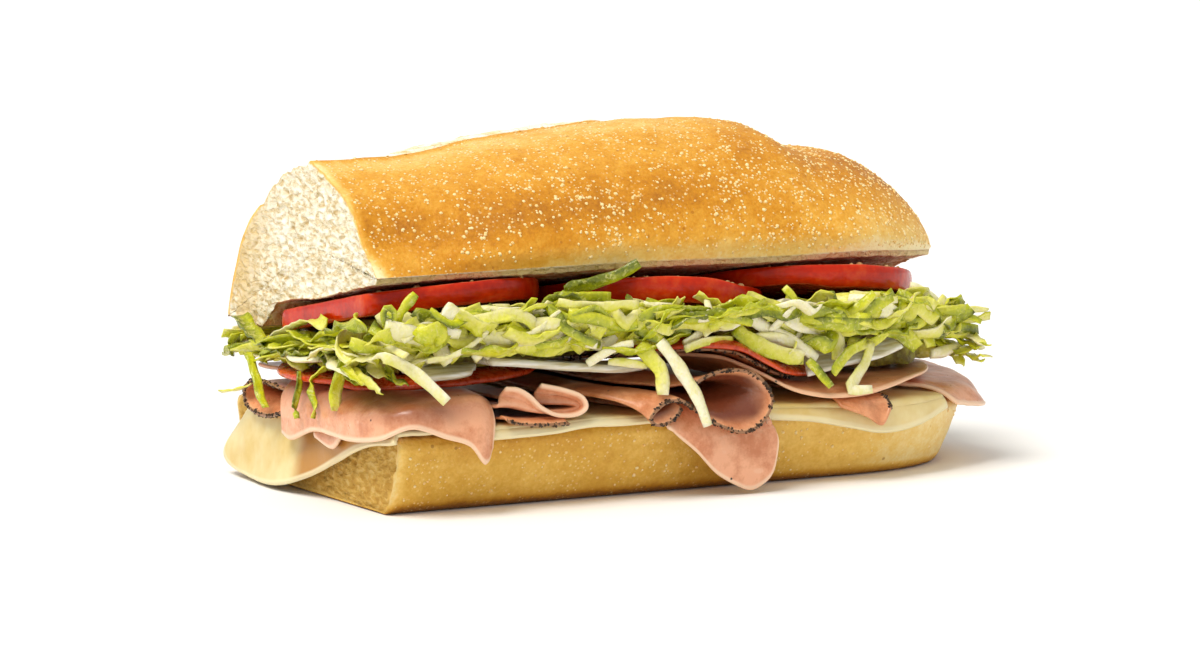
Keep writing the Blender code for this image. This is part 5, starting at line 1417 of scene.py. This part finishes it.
def make_shreds(material):
    rng = random.Random(SEED)
    trees = solid_trees()
    low, high = (np.array(corner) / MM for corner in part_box("lettuce"))
    points, faces, tones = [], [], []

    def add(path, width, tone, lean, frill=1.0):
        made, made_faces, made_tones = shred_mesh(path, width, tone, lean, rng, frill)
        start = sum(map(len, points))
        points.append(made)
        faces.extend(tuple(start + k for k in face) for face in made_faces)
        tones.append(made_tones)

    for axis, start, end, width, first, last, lean, spots in CHOSEN_SHREDS:
        add(chosen_path(axis, start, end, spots), width, (first, last), lean, 0.7)
    kept = 0
    for _ in range(SHREDS * 6):
        if kept == SHREDS:
            break
        if rng.random() < 0.60:
            path, foot, top = front_path(rng)
        else:
            path, foot, top = side_path(rng, rng.choices(SIDES, weights=(0.5, 0.26, 0.24))[0])
        width, lean = rng.triangular(1.6, 5.2, 2.8), rng.gauss(1.35, 0.5)
        heights = [place[2] for place in path]
        inside = all((low + 0.3 < place).all() and (place < high - 0.3).all() for place in path)
        if not inside or min(heights) < foot or max(heights) > top:
            continue
        probe = probe_tree(path, width + 0.8, lean)
        if any(tree.overlap(probe) for tree in trees):
            continue
        base = rng.choices((0.05, 0.3, 0.55, 0.78), weights=(0.15, 0.27, 0.34, 0.24))[0]
        add(path, width, (base + rng.uniform(-0.05, 0.15), base + rng.uniform(-0.15, 0.2)), lean)
        kept += 1
    make_piece("lettuce_shreds", np.vstack(points), faces, material, ("lettuce",),
               {"tone": np.concatenate(tones)})


def make_crumbs(material):
    """Bits of bread fallen on the tomato slices' front edges."""
    rng = random.Random(SEED + 1)
    blobs = []
    while len(blobs) < CRUMBS:
        number = rng.choice((1, 2, 3, 3, 2))
        (cx, cy), radius = TOMATOES[number]
        angle, reach = rng.uniform(math.radians(205), math.radians(350)), radius * rng.uniform(0.80, 0.975)
        x, y = cx + reach * math.cos(angle), cy + reach * math.sin(angle)
        if x < CUT_X + 1.0:
            continue
        if noise.noise(Vector((x / 5.0, y / 5.0, 3.0))) < rng.uniform(-0.3, 0.4):
            continue
        size = rng.triangular(0.2, 1.1, 0.35)
        lean = (rng.gauss(0, 0.5), rng.gauss(0, 0.5), 1.0)
        blobs.append((np.array([x, y, float(tomato_top(number, x, y)) + 0.05]), lean, size, size * 0.6))
    blob_cloud("tomato_crumbs", blobs, material)


def make_pepper(material):
    rng = random.Random(SEED + 2)
    blobs = []
    for place, radius in pepper:
        direction = (rng.gauss(0, 1), rng.gauss(0, 1), rng.gauss(0, 1))
        blobs.append((place, direction, radius, radius * 0.9))
    blob_cloud("pepper_grains", blobs, material, sides=5)


# Camera, floor and light

def aim(item, azimuth, elevation, distance, target):
    a, e = math.radians(azimuth), math.radians(elevation)
    back = Vector((math.sin(a) * math.cos(e), -math.cos(a) * math.cos(e), math.sin(e)))
    item.location = Vector(target) + back * distance
    item.rotation_euler = back.to_track_quat("Z", "Y").to_euler()
    bpy.context.scene.collection.objects.link(item)
    return item


def make_camera():
    lens = bpy.data.cameras.new("camera")
    lens.lens = CAMERA_LENS
    lens.sensor_width = CAMERA_SENSOR
    lens.clip_end = CAMERA_FAR
    bpy.context.scene.camera = aim(bpy.data.objects.new("camera", lens), CAMERA_AZIMUTH, CAMERA_ELEVATION,
                                   CAMERA_DISTANCE, CAMERA_TARGET)


def make_sun():
    lamp = bpy.data.lights.new("key", "SUN")
    lamp.angle = math.radians(SUN_SPREAD)
    lamp.energy = SUN_STRENGTH
    lamp.color = SUN_COLOUR
    aim(bpy.data.objects.new("key", lamp), SUN_AZIMUTH, SUN_ELEVATION, CAMERA_DISTANCE, CAMERA_TARGET)


def make_studio():
    mesh = bpy.data.meshes.new("floor")
    turn = ((-1, -1), (1, -1), (1, 1), (-1, 1))
    corners = [(x * FLOOR_REACH, y * FLOOR_REACH, FLOOR_LEVEL) for x, y in turn]
    mesh.from_pydata(corners, [], [(0, 1, 2, 3)])
    mesh.materials.append(floor_material())
    floor = bpy.data.objects.new("floor", mesh)
    bpy.context.scene.collection.objects.link(floor)
    world = bpy.data.worlds.new("studio")
    world.use_nodes = True
    sky = world.node_tree.nodes["Background"]
    sky.inputs["Color"].default_value = WORLD_COLOUR
    sky.inputs["Strength"].default_value = WORLD_STRENGTH
    bpy.context.scene.world = world
    make_sun()
    bpy.context.scene.view_settings.view_transform = "Standard"


# Ramp stops from pale to dark for the crusts, and from pore to wall for the crumb
TOP_CRUST = ((0.0, "#FBE7B2"), (0.22, "#F5CB70"), (0.42, "#E6A838"), (0.62, "#D18A12"), (0.85, "#AA6608"))
TOP_CRUMB = ((0.26, "#BE9E68"), (0.39, "#DEC99E"), (0.51, "#EFE3C6"), (0.66, "#FBF6E6"))
TOP_PORES = 0.28
LOW_CRUST = ((0.0, "#F8E0A0"), (0.25, "#ECC262"), (0.45, "#D9A840"), (0.7, "#C28820"), (0.95, "#905A0E"))
# Painted shade: the bottom roll's crumb is the same bread as the top's, coloured tan for the shade of the
# slices over it
LOW_CRUMB_PAINTED_SHADE = ((0.26, "#AE822E"), (0.42, "#BE9240"), (0.54, "#CBA24E"), (0.70, "#DAB970"))
LOW_PORES = 0.16


def main():
    top_bread = bread_material("top_bread", TOP_CRUST, TOP_CRUMB, TOP_PORES)
    low_bread = bread_material("bottom_bread", LOW_CRUST, LOW_CRUMB_PAINTED_SHADE, LOW_PORES)
    pink = ham_material("ham_pink", "#F0AE86", "#D08256", "#FAD0AE", 1.2)
    tan = ham_material("ham_tan", "#E49C6C", "#C4764A", "#F4C098", 1.1)
    peppered = ham_material("ham_peppered", "#E8A070", "#C87A4A", "#EAB284", 1.0, peppered=True)
    salami, tomato, leaf = salami_material(), tomato_material(), leaf_material()
    crown_rings = make_crown(top_bread)
    heel_rings = make_heel(low_bread)
    crust_specks(crown_rings, heel_rings, speck_material())
    make_tomatoes(tomato)
    make_crumbs(crumb_material())
    make_cheese(cheese_material())
    make_ham_left(pink, peppered)
    make_ham_folds(pink, peppered)
    make_upper_slices(tan, peppered, salami)
    make_ham_right_end(pink, peppered)
    make_onion(onion_material())
    make_pepper(pepper_material())
    make_lettuce_inside(core_painted_shade_material())
    make_shreds(leaf)
    make_studio()
    make_camera()


main()
